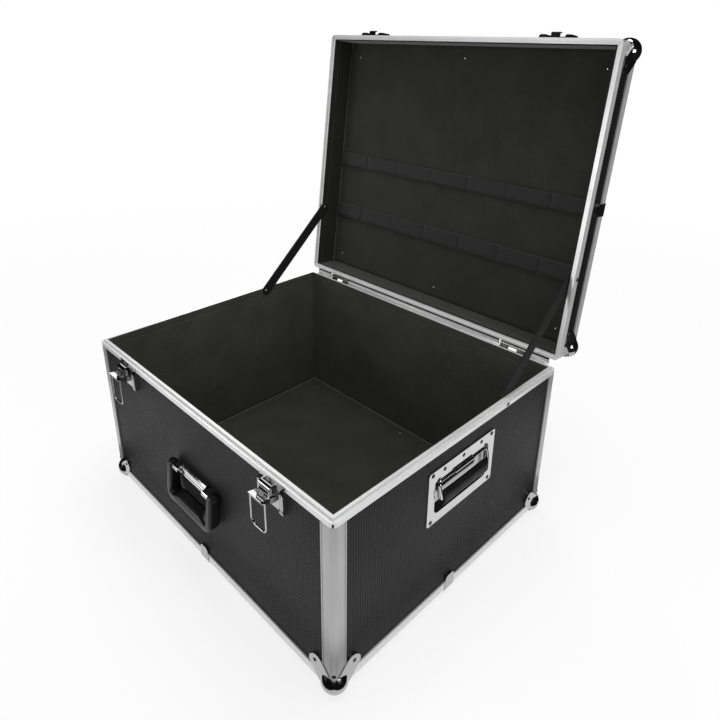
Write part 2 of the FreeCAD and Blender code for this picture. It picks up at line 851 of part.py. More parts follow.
# Drop handle on the right end: plate, dish, bail and grip
drop_pivot = Vec(half_w + drop_pivot_out, 0, drop_centre_height + drop_pivot_rise)
drop_grip = Vec(half_w + drop_grip_out, 0, drop_pivot.z - drop_grip_drop)
drop_arm_end = drop_arm_spread + drop_arm_thick


def end_rect(x0, x1, width, height, radius):
    """A rounded block on the end of the case, centred on the drop handle."""
    z0 = drop_centre_height - height / 2
    block = box(x0, x1, -width / 2, width / 2, z0, z0 + height)
    edges = [edge for edge in block.Edges if abs(edge.Vertexes[0].X - edge.Vertexes[1].X) > 1e-6]
    return block.makeFillet(radius, edges)


def across(radius, y0, y1, centre):
    """A round bar along the depth."""
    return Part.makeCylinder(radius, y1 - y0, centre + Y * y0, Y)


def drop_plate():
    """A plate with a window and a slotted flap at its top, rolled round the pivot rod in the middle."""
    back = half_w - edge_wall
    plate = end_rect(back, half_w, drop_plate_width, drop_plate_height, drop_plate_round)
    window = end_rect(half_w - panel_in, half_w + edge_wall, drop_window_width, drop_window_height,
                      drop_window_round)
    shelf = drop_pivot.z + drop_barrel
    window_top = drop_centre_height + drop_window_height / 2
    flap_low = drop_pivot.z + drop_rod + 2 * pin_play
    flap = box(back, half_w, -drop_flap_half, drop_flap_half, flap_low, window_top)
    barrel = across(drop_barrel, -drop_barrel_half, drop_barrel_half, drop_pivot)
    slot_z = (shelf + window_top - drop_slot_height) / 2
    slot = box(back, half_w, -drop_slot_half, drop_slot_half, slot_z, slot_z + drop_slot_height)
    bore = across(drop_rod + pin_play, -drop_flap_half, drop_flap_half, drop_pivot)
    return fuse(plate.cut(window), flap, barrel).cut([slot, bore])


def drop_dish():
    """A shallow pressed dish behind the window."""
    grow = 2 * dish_wall
    outer = end_rect(half_w - panel_in, half_w - edge_wall, drop_window_width + grow,
                     drop_window_height + grow, drop_window_round + dish_wall)
    inner = end_rect(half_w - panel_in + dish_wall, half_w, drop_window_width, drop_window_height,
                     drop_window_round)
    return outer.cut(inner)


def drop_hole():
    """The cut-out in the end panel that takes the dish."""
    grow = 2 * (dish_wall + dish_play)
    return end_rect(half_w - panel_in - liner_play, half_w, drop_window_width + grow,
                    drop_window_height + grow, drop_window_round + dish_wall + dish_play)


def drop_bail():
    """Two arms on a pivot rod, joined by the core of the grip."""
    pieces = [across(drop_core, -drop_arm_spread, drop_arm_spread, drop_grip)]
    fall = drop_grip - drop_pivot
    lean = fall.normalize()
    side_way = lean.cross(Y) * (drop_arm_width / 2)
    for side in (-1, 1):
        y0 = min(side * drop_arm_spread, side * (drop_arm_spread + drop_arm_thick))
        web = Part.Face(Part.makePolygon([drop_pivot - side_way, drop_pivot + side_way, drop_grip + side_way,
                                          drop_grip - side_way, drop_pivot - side_way]))
        pieces.append(web.translated(Y * y0).extrude(Y * drop_arm_thick))
        pieces.append(across(drop_arm_width / 2, y0, y0 + drop_arm_thick, drop_pivot))
        pieces.append(across(drop_arm_width / 2, y0, y0 + drop_arm_thick, drop_grip))
    return fuse(across(drop_rod, -drop_arm_end, drop_arm_end, drop_pivot), *pieces)


def drop_sleeve():
    """A rubber sleeve on the core, a little waisted and flattened towards the case."""
    half = drop_arm_spread - drop_grip_gap
    profile = outline(plane(drop_grip, Y, X), (-half, drop_core), [
        (-half, drop_grip_radius),
        (0, drop_grip_radius - drop_grip_waist, half, drop_grip_radius),
        (half, drop_core),
    ])
    flat = box(drop_grip.x - drop_grip_flat, drop_grip.x + drop_grip_flat, -half, half,
               drop_grip.z - drop_grip_radius, drop_grip.z + drop_grip_radius)
    return profile.revolve(drop_grip, Y, 360).common(flat)


plate_shape = drop_plate()
dish_shape = drop_dish()
drop_bail_shape = drop_bail()
sleeve_shape = drop_sleeve()
hole_right = drop_hole()

# Lid stays: a strip of webbing from a rivet in the base rim to one in the lid rim
strap_x = half_w - rim_depth - strap_gap
strap_base = Vec(0, half_d - strap_base_reach, part_z - base_flange / 2)
strap_lid_shut = Vec(0, half_d - strap_lid_reach, lid_z + strap_lid_rise)
strap_lid = opened(Part.Vertex(strap_lid_shut)).Point


def lid_stay():
    """A straight, taut strip with rounded ends, on the right end."""
    run = (strap_lid - strap_base).normalize()
    side = run.cross(X) * (strap_width / 2)
    a = strap_base - run * (strap_tail - strap_width / 2)
    b = strap_lid + run * (strap_tail - strap_width / 2)
    edges = [
        Part.makeLine(a + side, b + side),
        Part.Arc(b + side, b + run * (strap_width / 2), b - side).toShape(),
        Part.makeLine(b - side, a - side),
        Part.Arc(a - side, a - run * (strap_width / 2), a + side).toShape(),
    ]
    return Part.Face(Part.Wire(edges)).translated(X * (strap_x - strap_thick)).extrude(X * strap_thick)


stay_right = lid_stay()
hinge_places = (-hinge_x, hinge_x)
latch_places = {"left": -latch_x, "right": latch_x}

nodes = {
    "base_panel_bottom": base_floor,
    "base_panel_front": base_walls[0],
    "base_panel_back": base_walls[1],
    "base_panel_left": base_walls[2].cut(mirrored(hole_right)),
    "base_panel_right": base_walls[3].cut(hole_right),
    "base_liner_walls": group(base_liner),
    "base_liner_floor": floor_liner,
    "base_rim": group(base_rim),
    "base_corner_posts": group(base_posts),
    "base_bottom_edges": group(base_edges),
    "base_ball_corners": group(base_balls),
    "base_edge_clips": group(base_clips),
    "hinge_base_leaves": group([moved(hinge_base, x, 0, 0) for x in hinge_places]),
    "hinge_pins": group([moved(hinge_pin_rod, x, 0, 0) for x in hinge_places]),
    "hinge_lid_leaves": group([moved(opened(hinge_lid), x, 0, 0) for x in hinge_places]),
    "lid_panel_top": opened(lid_panel),
    "lid_panel_front": opened(lid_walls[0]),
    "lid_panel_back": opened(lid_walls[1]),
    "lid_panel_left": opened(lid_walls[2]),
    "lid_panel_right": opened(lid_walls[3]),
    "lid_liner_top": opened(lid_liner_top),
    "lid_liner_walls": opened(group(lid_liner_walls)),
    "lid_rim": opened(group(lid_rim)),
    "lid_corner_posts": opened(group(lid_posts)),
    "lid_outer_edges": opened(group(lid_edges)),
    "lid_ball_corners": opened(group(lid_balls)),
    "lid_edge_clips": opened(group(lid_clips)),
    "elastic_band_upper": opened(elastic_band(band_upper_reach, band_upper_width)),
    "elastic_band_lower": opened(elastic_band(band_lower_reach, band_lower_width)),
    "front_handle_bracket": handle_bracket(),
    "front_handle_pins": group(handle_pins()),
    "front_handle_grip": handle_grip(),
    "strap_right": stay_right,
    "strap_left": mirrored(stay_right),
    "side_handle_right_plate": plate_shape,
    "side_handle_left_plate": mirrored(plate_shape),
    "side_handle_right_dish": dish_shape,
    "side_handle_left_dish": mirrored(dish_shape),
    "side_handle_right_bail": drop_bail_shape,
    "side_handle_left_bail": mirrored(drop_bail_shape),
    "side_handle_right_grip": sleeve_shape,
    "side_handle_left_grip": mirrored(sleeve_shape),
}
for side, x in latch_places.items():
    nodes["latch_" + side + "_body"] = moved(body_shape, x, 0, 0)
    nodes["latch_" + side + "_pin"] = moved(lever_pin_rod, x, 0, 0)
    nodes["latch_" + side + "_lever"] = moved(lever_shape, x, 0, 0)
    nodes["latch_" + side + "_bail"] = moved(bail_shape, x, 0, 0)
    nodes["latch_" + side + "_keeper"] = moved(keeper_shape, x, 0, 0)

os.makedirs("parts", exist_ok=True)
for name, shape in nodes.items():
    shape.exportStep(os.path.join("parts", name + ".step"))
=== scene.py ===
# %% [markdown]
# # A transport case with its lid open
# The object is a plywood case with a black dimpled laminate, aluminium profiles along every edge,
# pressed ball corners, two toggle latches, a carry handle, a drop handle on each end and a felt lining.
# Its solid model is already placed and jointed. This lesson dresses it: every solid gets a finish made
# of shader nodes, and cloth, stitching and fasteners are worked out as surfaces with numpy.

import json
import math

import bmesh
import bpy
import numpy as np
from mathutils import Matrix, Vector


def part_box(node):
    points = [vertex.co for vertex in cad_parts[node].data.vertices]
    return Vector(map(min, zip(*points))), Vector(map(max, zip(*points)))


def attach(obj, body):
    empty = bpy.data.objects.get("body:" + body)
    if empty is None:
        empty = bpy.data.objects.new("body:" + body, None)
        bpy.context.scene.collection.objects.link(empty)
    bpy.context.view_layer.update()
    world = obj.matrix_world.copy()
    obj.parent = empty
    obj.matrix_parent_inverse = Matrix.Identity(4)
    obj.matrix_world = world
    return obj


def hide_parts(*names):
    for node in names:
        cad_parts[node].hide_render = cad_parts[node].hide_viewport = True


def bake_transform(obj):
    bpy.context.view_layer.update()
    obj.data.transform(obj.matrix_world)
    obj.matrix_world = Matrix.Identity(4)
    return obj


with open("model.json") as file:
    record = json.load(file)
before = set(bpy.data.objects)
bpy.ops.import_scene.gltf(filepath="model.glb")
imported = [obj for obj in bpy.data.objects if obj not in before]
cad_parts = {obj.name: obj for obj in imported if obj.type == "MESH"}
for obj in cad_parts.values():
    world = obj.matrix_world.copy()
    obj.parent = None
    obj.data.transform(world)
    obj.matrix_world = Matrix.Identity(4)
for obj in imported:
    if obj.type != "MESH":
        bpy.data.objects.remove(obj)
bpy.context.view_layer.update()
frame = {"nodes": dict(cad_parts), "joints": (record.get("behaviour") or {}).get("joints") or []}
nodes = frame["nodes"]

# %% [markdown]
# ## The camera
# The photograph looks down on the right front corner with a fairly wide lens. The place, aim and lens
# were worked out from the case's own straight edges, which meet at three vanishing points. A small
# shift keeps the upright edges where the photograph has them, as a view camera does.

# %% Camera
camera_data = bpy.data.cameras.new("photo_camera")
camera_data.sensor_width = 36.0
camera_data.lens = 30.69
camera_data.shift_x = 0.0055
camera_data.shift_y = -0.1188
camera_data.clip_start = 0.02
camera_data.clip_end = 60.0
camera = bpy.data.objects.new("photo_camera", camera_data)
bpy.context.scene.collection.objects.link(camera)
camera_place = Vector((0.6897, -0.59763, 0.78691))
camera_aim = Vector((-0.44396, 0.52270, 0.1597))
level_turn = (camera_aim - camera_place).to_track_quat("-Z", "Y").to_matrix()
roll = Matrix.Rotation(math.radians(0.50), 3, "Z")
camera.matrix_world = Matrix.Translation(camera_place) @ (level_turn @ roll).to_4x4()
bpy.context.scene.camera = camera
print("camera", tuple(round(c, 3) for c in camera.location), "lens", camera_data.lens, "mm")

# %% [markdown]
# ## Floor, background and light
# A white studio could be a curved paper roll, but its bend would show in polished metal. A wide flat
# floor and a white sky are simpler. The sky is white only for rays that the camera or a mirror sends
# out, and dimmer for the light that falls on the case, so the dark finishes stay dark. The floor mixes
# a white glow into plain paint in the same way and keeps a soft shadow under the case.


# %% A helper that adds one shader node
def add(tree, kind, inputs=(), out=0, **settings):
    """Adds a node with its settings, and fills its sockets with numbers or other nodes' outputs."""
    made = tree.nodes.new("ShaderNode" + kind)
    for key, value in settings.items():
        setattr(made, key, value)
    for key, value in dict(inputs).items():
        if isinstance(value, bpy.types.NodeSocket):
            tree.links.new(value, made.inputs[key])
        else:
            made.inputs[key].default_value = value
    return made.outputs[out]


def seen_directly(tree):
    """One where a ray comes from the camera, a mirror or glass, and zero for light that spreads."""
    path = tree.nodes.new("ShaderNodeLightPath").outputs
    mirror = add(tree, "Math", {0: path["Is Glossy Ray"], 1: path["Is Transmission Ray"]}, operation="MAXIMUM")
    return add(tree, "Math", {0: path["Is Camera Ray"], 1: mirror}, operation="MAXIMUM")


# %% White sky
world = bpy.data.worlds.new("studio")
bpy.context.scene.world = world
world.use_nodes = True
sky = world.node_tree
sky.nodes.clear()
sky_fill = add(sky, "Background", {"Color": (1.0, 1.0, 1.0, 1.0), "Strength": 0.42})
sky_white = add(sky, "Background", {"Color": (1.0, 1.0, 1.0, 1.0), "Strength": 1.0})
sky_mix = add(sky, "MixShader", {0: seen_directly(sky), 1: sky_fill, 2: sky_white})
sky_out = sky.nodes.new("ShaderNodeOutputWorld")
sky.links.new(sky_mix, sky_out.inputs["Surface"])
print("a white sky of", len(sky.nodes), "nodes")

# %% Floor
floor_mesh = bpy.data.meshes.new("studio_floor")
floor_mesh.from_pydata([(-9, -9, 0), (9, -9, 0), (9, 9, 0), (-9, 9, 0)], [], [(0, 1, 2, 3)])
floor = bpy.data.objects.new("studio_floor", floor_mesh)
bpy.context.scene.collection.objects.link(floor)
floor_paint = bpy.data.materials.new("floor_paint")
floor_paint.use_nodes = True
tree = floor_paint.node_tree
tree.nodes.clear()
paint = add(tree, "BsdfDiffuse", {"Color": (0.86, 0.86, 0.86, 1.0)})
glow = add(tree, "Emission", {"Color": (1.0, 1.0, 1.0, 1.0), "Strength": 1.0})
distance = add(tree, "VectorMath", {0: tree.nodes.new("ShaderNodeTexCoord").outputs["Object"]}, out=1,
               operation="LENGTH")
far = add(tree, "MapRange", {"Value": distance, "From Min": 0.5, "From Max": 2.6, "To Min": 0.78, "To Max": 1.0},
          interpolation_type="SMOOTHSTEP")
share = add(tree, "Math", {0: seen_directly(tree), 1: far}, operation="MULTIPLY")
floor_mix = add(tree, "MixShader", {0: share, 1: paint, 2: glow})
tree.links.new(floor_mix, tree.nodes.new("ShaderNodeOutputMaterial").inputs["Surface"])
floor_mesh.materials.append(floor_paint)
print("a white floor, 18 m square")

# %% [markdown]
# Chrome shows nothing but its surroundings, and in an all white room it looks like paper. In the
# photograph it is black between white edges, so the room round the table was dark. Black cards give
# the same: four walls and a ceiling, a floor beyond the white table, and a low strip round the foot of
# the case. They are seen only in reflections: they cast no shadow and the camera looks past them.


# %% Black cards
card_paint = bpy.data.materials.new("card_paint")
card_paint.use_nodes = True
card_paint.node_tree.nodes.clear()
velvet = add(card_paint.node_tree, "BsdfDiffuse", {"Color": (0.02, 0.02, 0.02, 1.0)})
card_out = card_paint.node_tree.nodes.new("ShaderNodeOutputMaterial")
card_paint.node_tree.links.new(velvet, card_out.inputs["Surface"])


def black_card(name, corner, along, up):
    """A flat card from a corner along two edges, for mirrors alone."""
    corner, along, up = (np.array(v, float) for v in (corner, along, up))
    mesh = bpy.data.meshes.new(name)
    mesh.from_pydata([corner, corner + along, corner + along + up, corner + up], [], [(0, 1, 2, 3)])
    mesh.materials.append(card_paint)
    card = bpy.data.objects.new(name, mesh)
    bpy.context.scene.collection.objects.link(card)
    card.visible_camera = card.visible_diffuse = card.visible_shadow = False


def card_ring(name, x, y, low, high):
    """Four upright cards in a ring x and y metres from the middle, from one height to another."""
    rise = (0, 0, high - low)
    black_card(name + "_front", (-x, -y, low), (2 * x, 0, 0), rise)
    black_card(name + "_back", (-x, y, low), (2 * x, 0, 0), rise)
    black_card(name + "_left", (-x, -y, low), (0, 2 * y, 0), rise)
    black_card(name + "_right", (x, -y, low), (0, 2 * y, 0), rise)


room, room_high, table_x, table_y = 3.6, 3.3, 0.66, 0.60
card_ring("card_wall", room, room, 0.0, room_high)
card_ring("card_foot", 0.330, 0.275, 0.0, 0.042)
black_card("card_over", (-room, -room, room_high), (2 * room, 0, 0), (0, 2 * room, 0))
black_card("card_floor_front", (-room, -room, 0.002), (2 * room, 0, 0), (0, room - table_y, 0))
black_card("card_floor_back", (-room, table_y, 0.002), (2 * room, 0, 0), (0, room - table_y, 0))
black_card("card_floor_left", (-room, -table_y, 0.002), (room - table_x, 0, 0), (0, 2 * table_y, 0))
black_card("card_floor_right", (table_x, -table_y, 0.002), (room - table_x, 0, 0), (0, 2 * table_y, 0))
print("a white table", 2 * table_x, "by", 2 * table_y, "m in a dark room")

# %% [markdown]
# The light comes from large soft boxes, one over the case and one each at the right, front and back. Small
# lamps would give sharper shadows and hot spots on the metal; an area lamp as wide as the case spreads
# its highlight along a whole rim.


# %% Soft lamps
def soft_lamp(name, place, aim, size, power):
    """A square area lamp at place, facing aim."""
    data = bpy.data.lights.new(name, "AREA")
    data.size = size
    data.energy = power
    lamp = bpy.data.objects.new(name, data)
    lamp.location = place
    lamp.rotation_euler = (Vector(aim) - Vector(place)).to_track_quat("-Z", "Y").to_euler()
    bpy.context.scene.collection.objects.link(lamp)
    return lamp


soft_lamp("lamp_over", (0.15, 0.25, 2.6), (0.0, 0.0, 0.2), 1.6, 42.0)
soft_lamp("lamp_right", (2.6, -0.1, 0.85), (0.0, 0.0, 0.3), 0.9, 15.0)
soft_lamp("lamp_front", (-1.15, -2.1, 0.60), (0.0, 0.3, 0.5), 1.2, 16.0)
soft_lamp("lamp_back", (-2.6, 1.8, 1.9), (0.0, 0.0, 0.2), 2.0, 26.0)
bpy.context.scene.view_settings.view_transform = "Standard"
print("sky, floor and four soft lamps")

# %% [markdown]
# ## Finishes
# Each finish is a Principled shader fed by patterns on Object coordinates, so the grain stays fixed to
# the metal or board when the lid swings. Lid patterns are laid out for the shut lid, and a Mapping
# node turns them with it.


# %% Start a finish
def finish_tree(name, **sockets):
    """A new material: returns it, its node tree and its Principled node, with constant sockets set."""
    material = bpy.data.materials.new(name)
    material.use_nodes = True
    tree = material.node_tree
    shader = tree.nodes["Principled BSDF"]
    for key, value in sockets.items():
        shader.inputs[key.replace("_", " ")].default_value = value
    return material, tree, shader


def grey(value, warm=0.0):
    """A grey, a little warmer or cooler."""
    return (value * (1 + warm), value, value * (1 - warm), 1.0)


def blotches(tree, place, size, detail=3.0):
    """A noise between 0 and 1 whose blotches are about size metres across."""
    return add(tree, "TexNoise", {"Vector": place, "Scale": 1.0 / size, "Detail": detail, "Roughness": 0.6})


def ramp(tree, factor, low, high, start=0.0, end=1.0):
    """Runs from low to high as factor goes from start to end, for numbers or colours."""
    if isinstance(low, tuple):
        t = add(tree, "MapRange", {"Value": factor, "From Min": start, "From Max": end})
        return add(tree, "Mix", {0: t, 6: low, 7: high}, out=2, data_type="RGBA")
    return add(tree, "MapRange", {"Value": factor, "From Min": start, "From Max": end, "To Min": low, "To Max": high})


def relief(tree, shader, height, depth, strength=1.0):
    """Turns a height pattern into bump, depth metres deep."""
    bump = add(tree, "Bump", {"Height": height, "Strength": strength, "Distance": depth})
    tree.links.new(bump, shader.inputs["Normal"])


lid_hinge = next(joint for joint in frame["joints"] if joint["name"] == "lid_hinge")
lid_open = math.radians(lid_hinge["range_deg"][1])


def shut_place(tree, on_lid):
    """Object coordinates, turned back to the shut lid where the piece is on the lid."""
    place = tree.nodes.new("ShaderNodeTexCoord").outputs["Object"]
    if not on_lid:
        return place
    return add(tree, "Mapping", {"Vector": place, "Rotation": (lid_open, 0.0, 0.0)}, vector_type="POINT")


# %% [markdown]
# ### Dimpled laminate
# The boards are faced with a hard black plastic sheet, embossed with a fine grid of round dimples
# about four millimetres apart. An embossed sheet could be modelled dimple by dimple, at a million
# faces a board. A bump made of two sine waves costs nothing and catches light in the same way. The
# same waves also set the colour: near black in each dimple and grey on its rim. That is painted shade
# and painted glints.


# %% Laminate
def wave(tree, along, pitch):
    """The sine of a distance, with the given pitch in metres."""
    turn = add(tree, "Math", {0: along, 1: 2 * math.pi / pitch}, operation="MULTIPLY")
    return add(tree, "Math", {0: turn}, operation="SINE")


def laminate(name, across, up, on_lid):
    """Black laminate whose dimples lie on a board spanned by two axes, such as X and Z: each is the
    product of two raised sines. The colour is darkest in each hollow and palest on its rim: painted
    shade and painted glints."""
    material, tree, shader = finish_tree(name, Specular_IOR_Level=0.13)
    place = shut_place(tree, on_lid)
    split = tree.nodes.new("ShaderNodeSeparateXYZ")
    tree.links.new(place, split.inputs[0])
    row, column = (ramp(tree, wave(tree, split.outputs[axis], 0.0043), 0.0, 1.0, -1.0, 1.0) for axis in (up, across))
    dimple = add(tree, "Math", {0: row, 1: column}, operation="MULTIPLY")
    cloudy = blotches(tree, place, 0.16)
    # Painted shade and glints: the colour runs with the dimple's height, near black in the hollow and grey on the
    # rim.
    tone = ramp(tree, dimple, grey(0.0030, 0.01), grey(0.040, 0.01))
    shade = add(tree, "Mix", {0: 1.0, 6: tone, 7: ramp(tree, cloudy, grey(0.86), grey(1.12), 0.3, 0.7)},
                out=2, data_type="RGBA", blend_type="MULTIPLY")
    tree.links.new(shade, shader.inputs["Base Color"])
    tree.links.new(ramp(tree, cloudy, 0.40, 0.50, 0.3, 0.7), shader.inputs["Roughness"])
    relief(tree, shader, dimple, 0.0005, 0.8)
    return material


boards = {
    "base_panel_front": laminate("laminate_front", "X", "Z", False),
    "base_panel_right": laminate("laminate_end", "Y", "Z", False),
    "base_panel_bottom": laminate("laminate_level", "X", "Y", False),
    "lid_panel_front": laminate("laminate_lid_front", "X", "Z", True),
    "lid_panel_right": laminate("laminate_lid_end", "Y", "Z", True),
    "lid_panel_top": laminate("laminate_lid_top", "X", "Y", True),
}
boards["base_panel_back"] = boards["base_panel_front"]
boards["base_panel_left"] = boards["base_panel_right"]
boards["lid_panel_back"] = boards["lid_panel_front"]
boards["lid_panel_left"] = boards["lid_panel_right"]
print(len(boards), "boards share", len(set(boards.values())), "laminates")

# %% [markdown]
# ### Satin aluminium
# The profiles are extruded and anodised: a pale metal with hair-fine streaks along its length, a few
# rub marks, and a soft, wide highlight. Streaks are a noise stretched a hundred times along one axis.


# %% Aluminium
def aluminium(name, tone, along, on_lid, roughness=0.36):
    """Anodised aluminium with streaks along the axis numbered along."""
    material, tree, shader = finish_tree(name, Metallic=0.5)
    place = shut_place(tree, on_lid)
    stretch = [900.0, 900.0, 900.0]
    stretch[along] = 6.0
    streak = add(tree, "TexNoise", {
        "Vector": add(tree, "Mapping", {"Vector": place, "Scale": stretch}), "Scale": 1.0, "Detail": 2.0})
    worn = blotches(tree, place, 0.045, 4.0)
    colour = ramp(tree, streak, grey(tone * 0.93), grey(min(tone * 1.05, 0.95)), 0.3, 0.7)
    tree.links.new(colour, shader.inputs["Base Color"])
    rough = ramp(tree, worn, roughness - 0.05, roughness + 0.08, 0.3, 0.7)
    tree.links.new(rough, shader.inputs["Roughness"])
    relief(tree, shader, streak, 0.00004, 0.35)
    return material


# The profiles are all one metal. The posts, the bottom edges and the lid's edges get darker copies of the rim's
# aluminium (tone 0.44, 0.76 and 0.70 against 0.80): painted shade for faces that turn from the light.
aluminium_rim = aluminium("aluminium_rim", 0.80, 0, False)
aluminium_lid_rim = aluminium("aluminium_lid_rim", 0.80, 0, True)
aluminium_post_painted_shade = aluminium("aluminium_post_painted_shade", 0.44, 2, False)
aluminium_edge_painted_shade = aluminium("aluminium_edge_painted_shade", 0.76, 0, False)
aluminium_lid_edge_painted_shade = aluminium("aluminium_lid_edge_painted_shade", 0.70, 0, True)
print("five aluminium finishes")

# %% [markdown]
# ### Chrome, plated and burnished steel, plastic and rubber
# The handle plates are chrome, and the latches, ball corners and clips the same chrome at a lower tone:
# nearly a mirror, with faint polishing scratches that only show in the highlight. Their lower tone is
# painted shade, for the dark room they mirror. Pins and hinges have a duller zinc plating, and rivets
# are burnished dark. The carry handle is moulded plastic; the drop handles have rubber sleeves. All
# could be flat colours; a little haze and grain keeps them from looking like one.


# %% Polished and plated metal
def polished(name, tone, roughness, scratch=0.25, warm=0.0):
    """A plated metal with fine scratches and a little haze."""
    material, tree, shader = finish_tree(name, Metallic=1.0)
    place = tree.nodes.new("ShaderNodeTexCoord").outputs["Object"]
    haze = blotches(tree, place, 0.02, 4.0)
    fine = add(tree, "TexNoise", {
        "Vector": add(tree, "Mapping", {"Vector": place, "Scale": (300.0, 2600.0, 900.0)}), "Scale": 1.0})
    colour = ramp(tree, haze, grey(tone * 0.94, warm), grey(min(tone * 1.04, 0.97), warm), 0.3, 0.7)
    tree.links.new(colour, shader.inputs["Base Color"])
    tree.links.new(ramp(tree, haze, roughness * 0.7, roughness * 1.4, 0.3, 0.7), shader.inputs["Roughness"])
    relief(tree, shader, fine, 0.00003, scratch)
    return material


chrome = polished("chrome", 0.62, 0.08)
# A darker copy of the chrome: its lower tone is painted shade for the dark room that the latches, ball corners and
# clips mirror.
chrome_painted_shade = polished("chrome_painted_shade", 0.44, 0.08)
plated_steel = polished("plated_steel", 0.36, 0.26, 0.4, 0.02)
burnished_steel = polished("burnished_steel", 0.09, 0.22, 0.4)


# %% Moulded plastic and rubber
def moulded(name, tone, roughness, grain, depth, specular=0.5):
    """A black moulded surface with a fine grain, grain metres across."""
    material, tree, shader = finish_tree(name, Specular_IOR_Level=specular)
    place = tree.nodes.new("ShaderNodeTexCoord").outputs["Object"]
    cloudy = blotches(tree, place, 0.03)
    tree.links.new(ramp(tree, cloudy, grey(tone * 0.8), grey(tone * 1.25), 0.3, 0.7), shader.inputs["Base Color"])
    tree.links.new(ramp(tree, cloudy, roughness - 0.06, roughness + 0.08, 0.3, 0.7), shader.inputs["Roughness"])
    relief(tree, shader, blotches(tree, place, grain, 1.0), depth, 0.5)
    return material


black_plastic = moulded("black_plastic", 0.008, 0.34, 0.0009, 0.00004, 0.40)
grip_rubber = moulded("grip_rubber", 0.006, 0.45, 0.0011, 0.00008, 0.16)
print("metals, plastic and rubber ready")

# %% [markdown]
# Each solid now gets its finish. Writing them one by one would be clear but long, so they go into one
# table by the solid's name, and whatever isn't in the table is chrome.

# %% Dress the solids
dressing = dict(boards)
dressing.update({
    "base_rim": aluminium_rim, "lid_rim": aluminium_lid_rim, "base_corner_posts": aluminium_post_painted_shade,
    "base_bottom_edges": aluminium_edge_painted_shade, "lid_corner_posts": aluminium_lid_edge_painted_shade,
    "lid_outer_edges": aluminium_lid_edge_painted_shade,
})
for side in ("left", "right"):
    dressing["latch_" + side + "_pin"] = plated_steel
    for part in ("body", "lever", "bail", "keeper"):
        dressing["latch_" + side + "_" + part] = chrome_painted_shade
for name in ("base_ball_corners", "lid_ball_corners", "base_edge_clips", "lid_edge_clips"):
    dressing[name] = chrome_painted_shade
for name in ("hinge_base_leaves", "hinge_lid_leaves", "hinge_pins", "front_handle_pins"):
    dressing[name] = plated_steel
for name, solid in nodes.items():
    solid.data.materials.clear()
    solid.data.materials.append(dressing.get(name, chrome))
print(len(nodes), "solids dressed")

# %% [markdown]
# ## Surfaces from numbers
# Every new piece below is a grid of points worked out at once as a numpy array. One helper turns such
# grids into a mesh: each four neighbouring points make a face, and points that coincide, at the tip of
# a dome or where a strip closes on itself, are merged. Three more give a sheet its thickness, fix a piece
# to the body that it moves with, and swing points of the shut lid to the open one.


# %% Grid to mesh
def surface(name, points, finish, uv=None, merge=1e-6):
    """A mesh from an array [copy, row, column, xyz]: neighbouring rows and columns are joined by faces."""
    copies, rows, columns = points.shape[:3]
    index = np.arange(copies * rows * columns).reshape(copies, rows, columns)
    a, b = index[:, :-1, :-1], index[:, :-1, 1:]
    c, d = index[:, 1:, 1:], index[:, 1:, :-1]
    faces = np.stack([a, b, c, d], axis=-1).reshape(-1, 4)
    mesh = bpy.data.meshes.new(name)
    mesh.from_pydata(points.reshape(-1, 3), [], faces)
    if uv is not None:
        layer = mesh.uv_layers.new(name="strip")
        layer.data.foreach_set("uv", uv.reshape(-1, 2)[faces.ravel()].ravel())
    work = bmesh.new()
    work.from_mesh(mesh)
    bmesh.ops.remove_doubles(work, verts=work.verts, dist=merge)
    work.to_mesh(mesh)
    work.free()
    mesh.polygons.foreach_set("use_smooth", np.ones(len(mesh.polygons), bool))
    mesh.materials.append(finish)
    piece = bpy.data.objects.new(name, mesh)
    bpy.context.scene.collection.objects.link(piece)
    return piece


def thicken(piece, depth, offset=-1.0):
    """Gives an open sheet its thickness, by default on the side away from its faces."""
    thick = piece.modifiers.new("thickness", "SOLIDIFY")
    thick.thickness = depth
    thick.offset = offset


def fasten(piece, body, node=None):
    """Fixes a piece to the body that it moves with, and takes a solid's place."""
    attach(piece, body)
    if node:
        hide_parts(node)
    print(piece.name, len(piece.data.polygons), "faces")


hinge_y, hinge_z = lid_hinge["pos_m"][1:]


def swing(points):
    """Points of the shut lid, turned back about the hinge pin to the open lid."""
    turned = np.array(points, float)
    y, z = turned[..., 1] - hinge_y, turned[..., 2] - hinge_z
    cos, sin = math.cos(lid_open), math.sin(lid_open)
    turned[..., 1] = hinge_y + y * cos + z * sin
    turned[..., 2] = hinge_z - y * sin + z * cos
    return turned


# %% [markdown]
# ## Felt lining
# The inside is lined with black felt, glued to the boards: one strip round the walls, one sheet on the
# floor, and the same in the lid. Felt could be a flat board with a fuzzy finish, but glue dries
# unevenly, so each sheet gets a shallow, slow ripple, and Solidify gives it its own thickness.


# %% Felt finish
def felt(name, tone):
    """Matted black fibres: a soft sheen at grazing angles, specks of lint and a fine, deep nap."""
    material, tree, shader = finish_tree(
        name, Roughness=0.92, Specular_IOR_Level=0.22, Sheen_Weight=0.25, Sheen_Roughness=0.45)
    place = tree.nodes.new("ShaderNodeTexCoord").outputs["Object"]
    nap = blotches(tree, place, 0.0011, 4.0)
    patch = blotches(tree, place, 0.07, 4.0)
    dark, pale = ((k * tone, k * tone * 1.02, k * tone * 0.84, 1.0) for k in (0.62, 1.45))
    tint = ramp(tree, nap, dark, pale, 0.3, 0.72)
    worn = ramp(tree, patch, grey(0.80), grey(1.18), 0.3, 0.7)
    mixed = add(tree, "Mix", {0: 1.0, 6: tint, 7: worn}, out=2, data_type="RGBA", blend_type="MULTIPLY")
    tree.links.new(mixed, shader.inputs["Base Color"])
    relief(tree, shader, nap, 0.0005, 0.6)
    return material


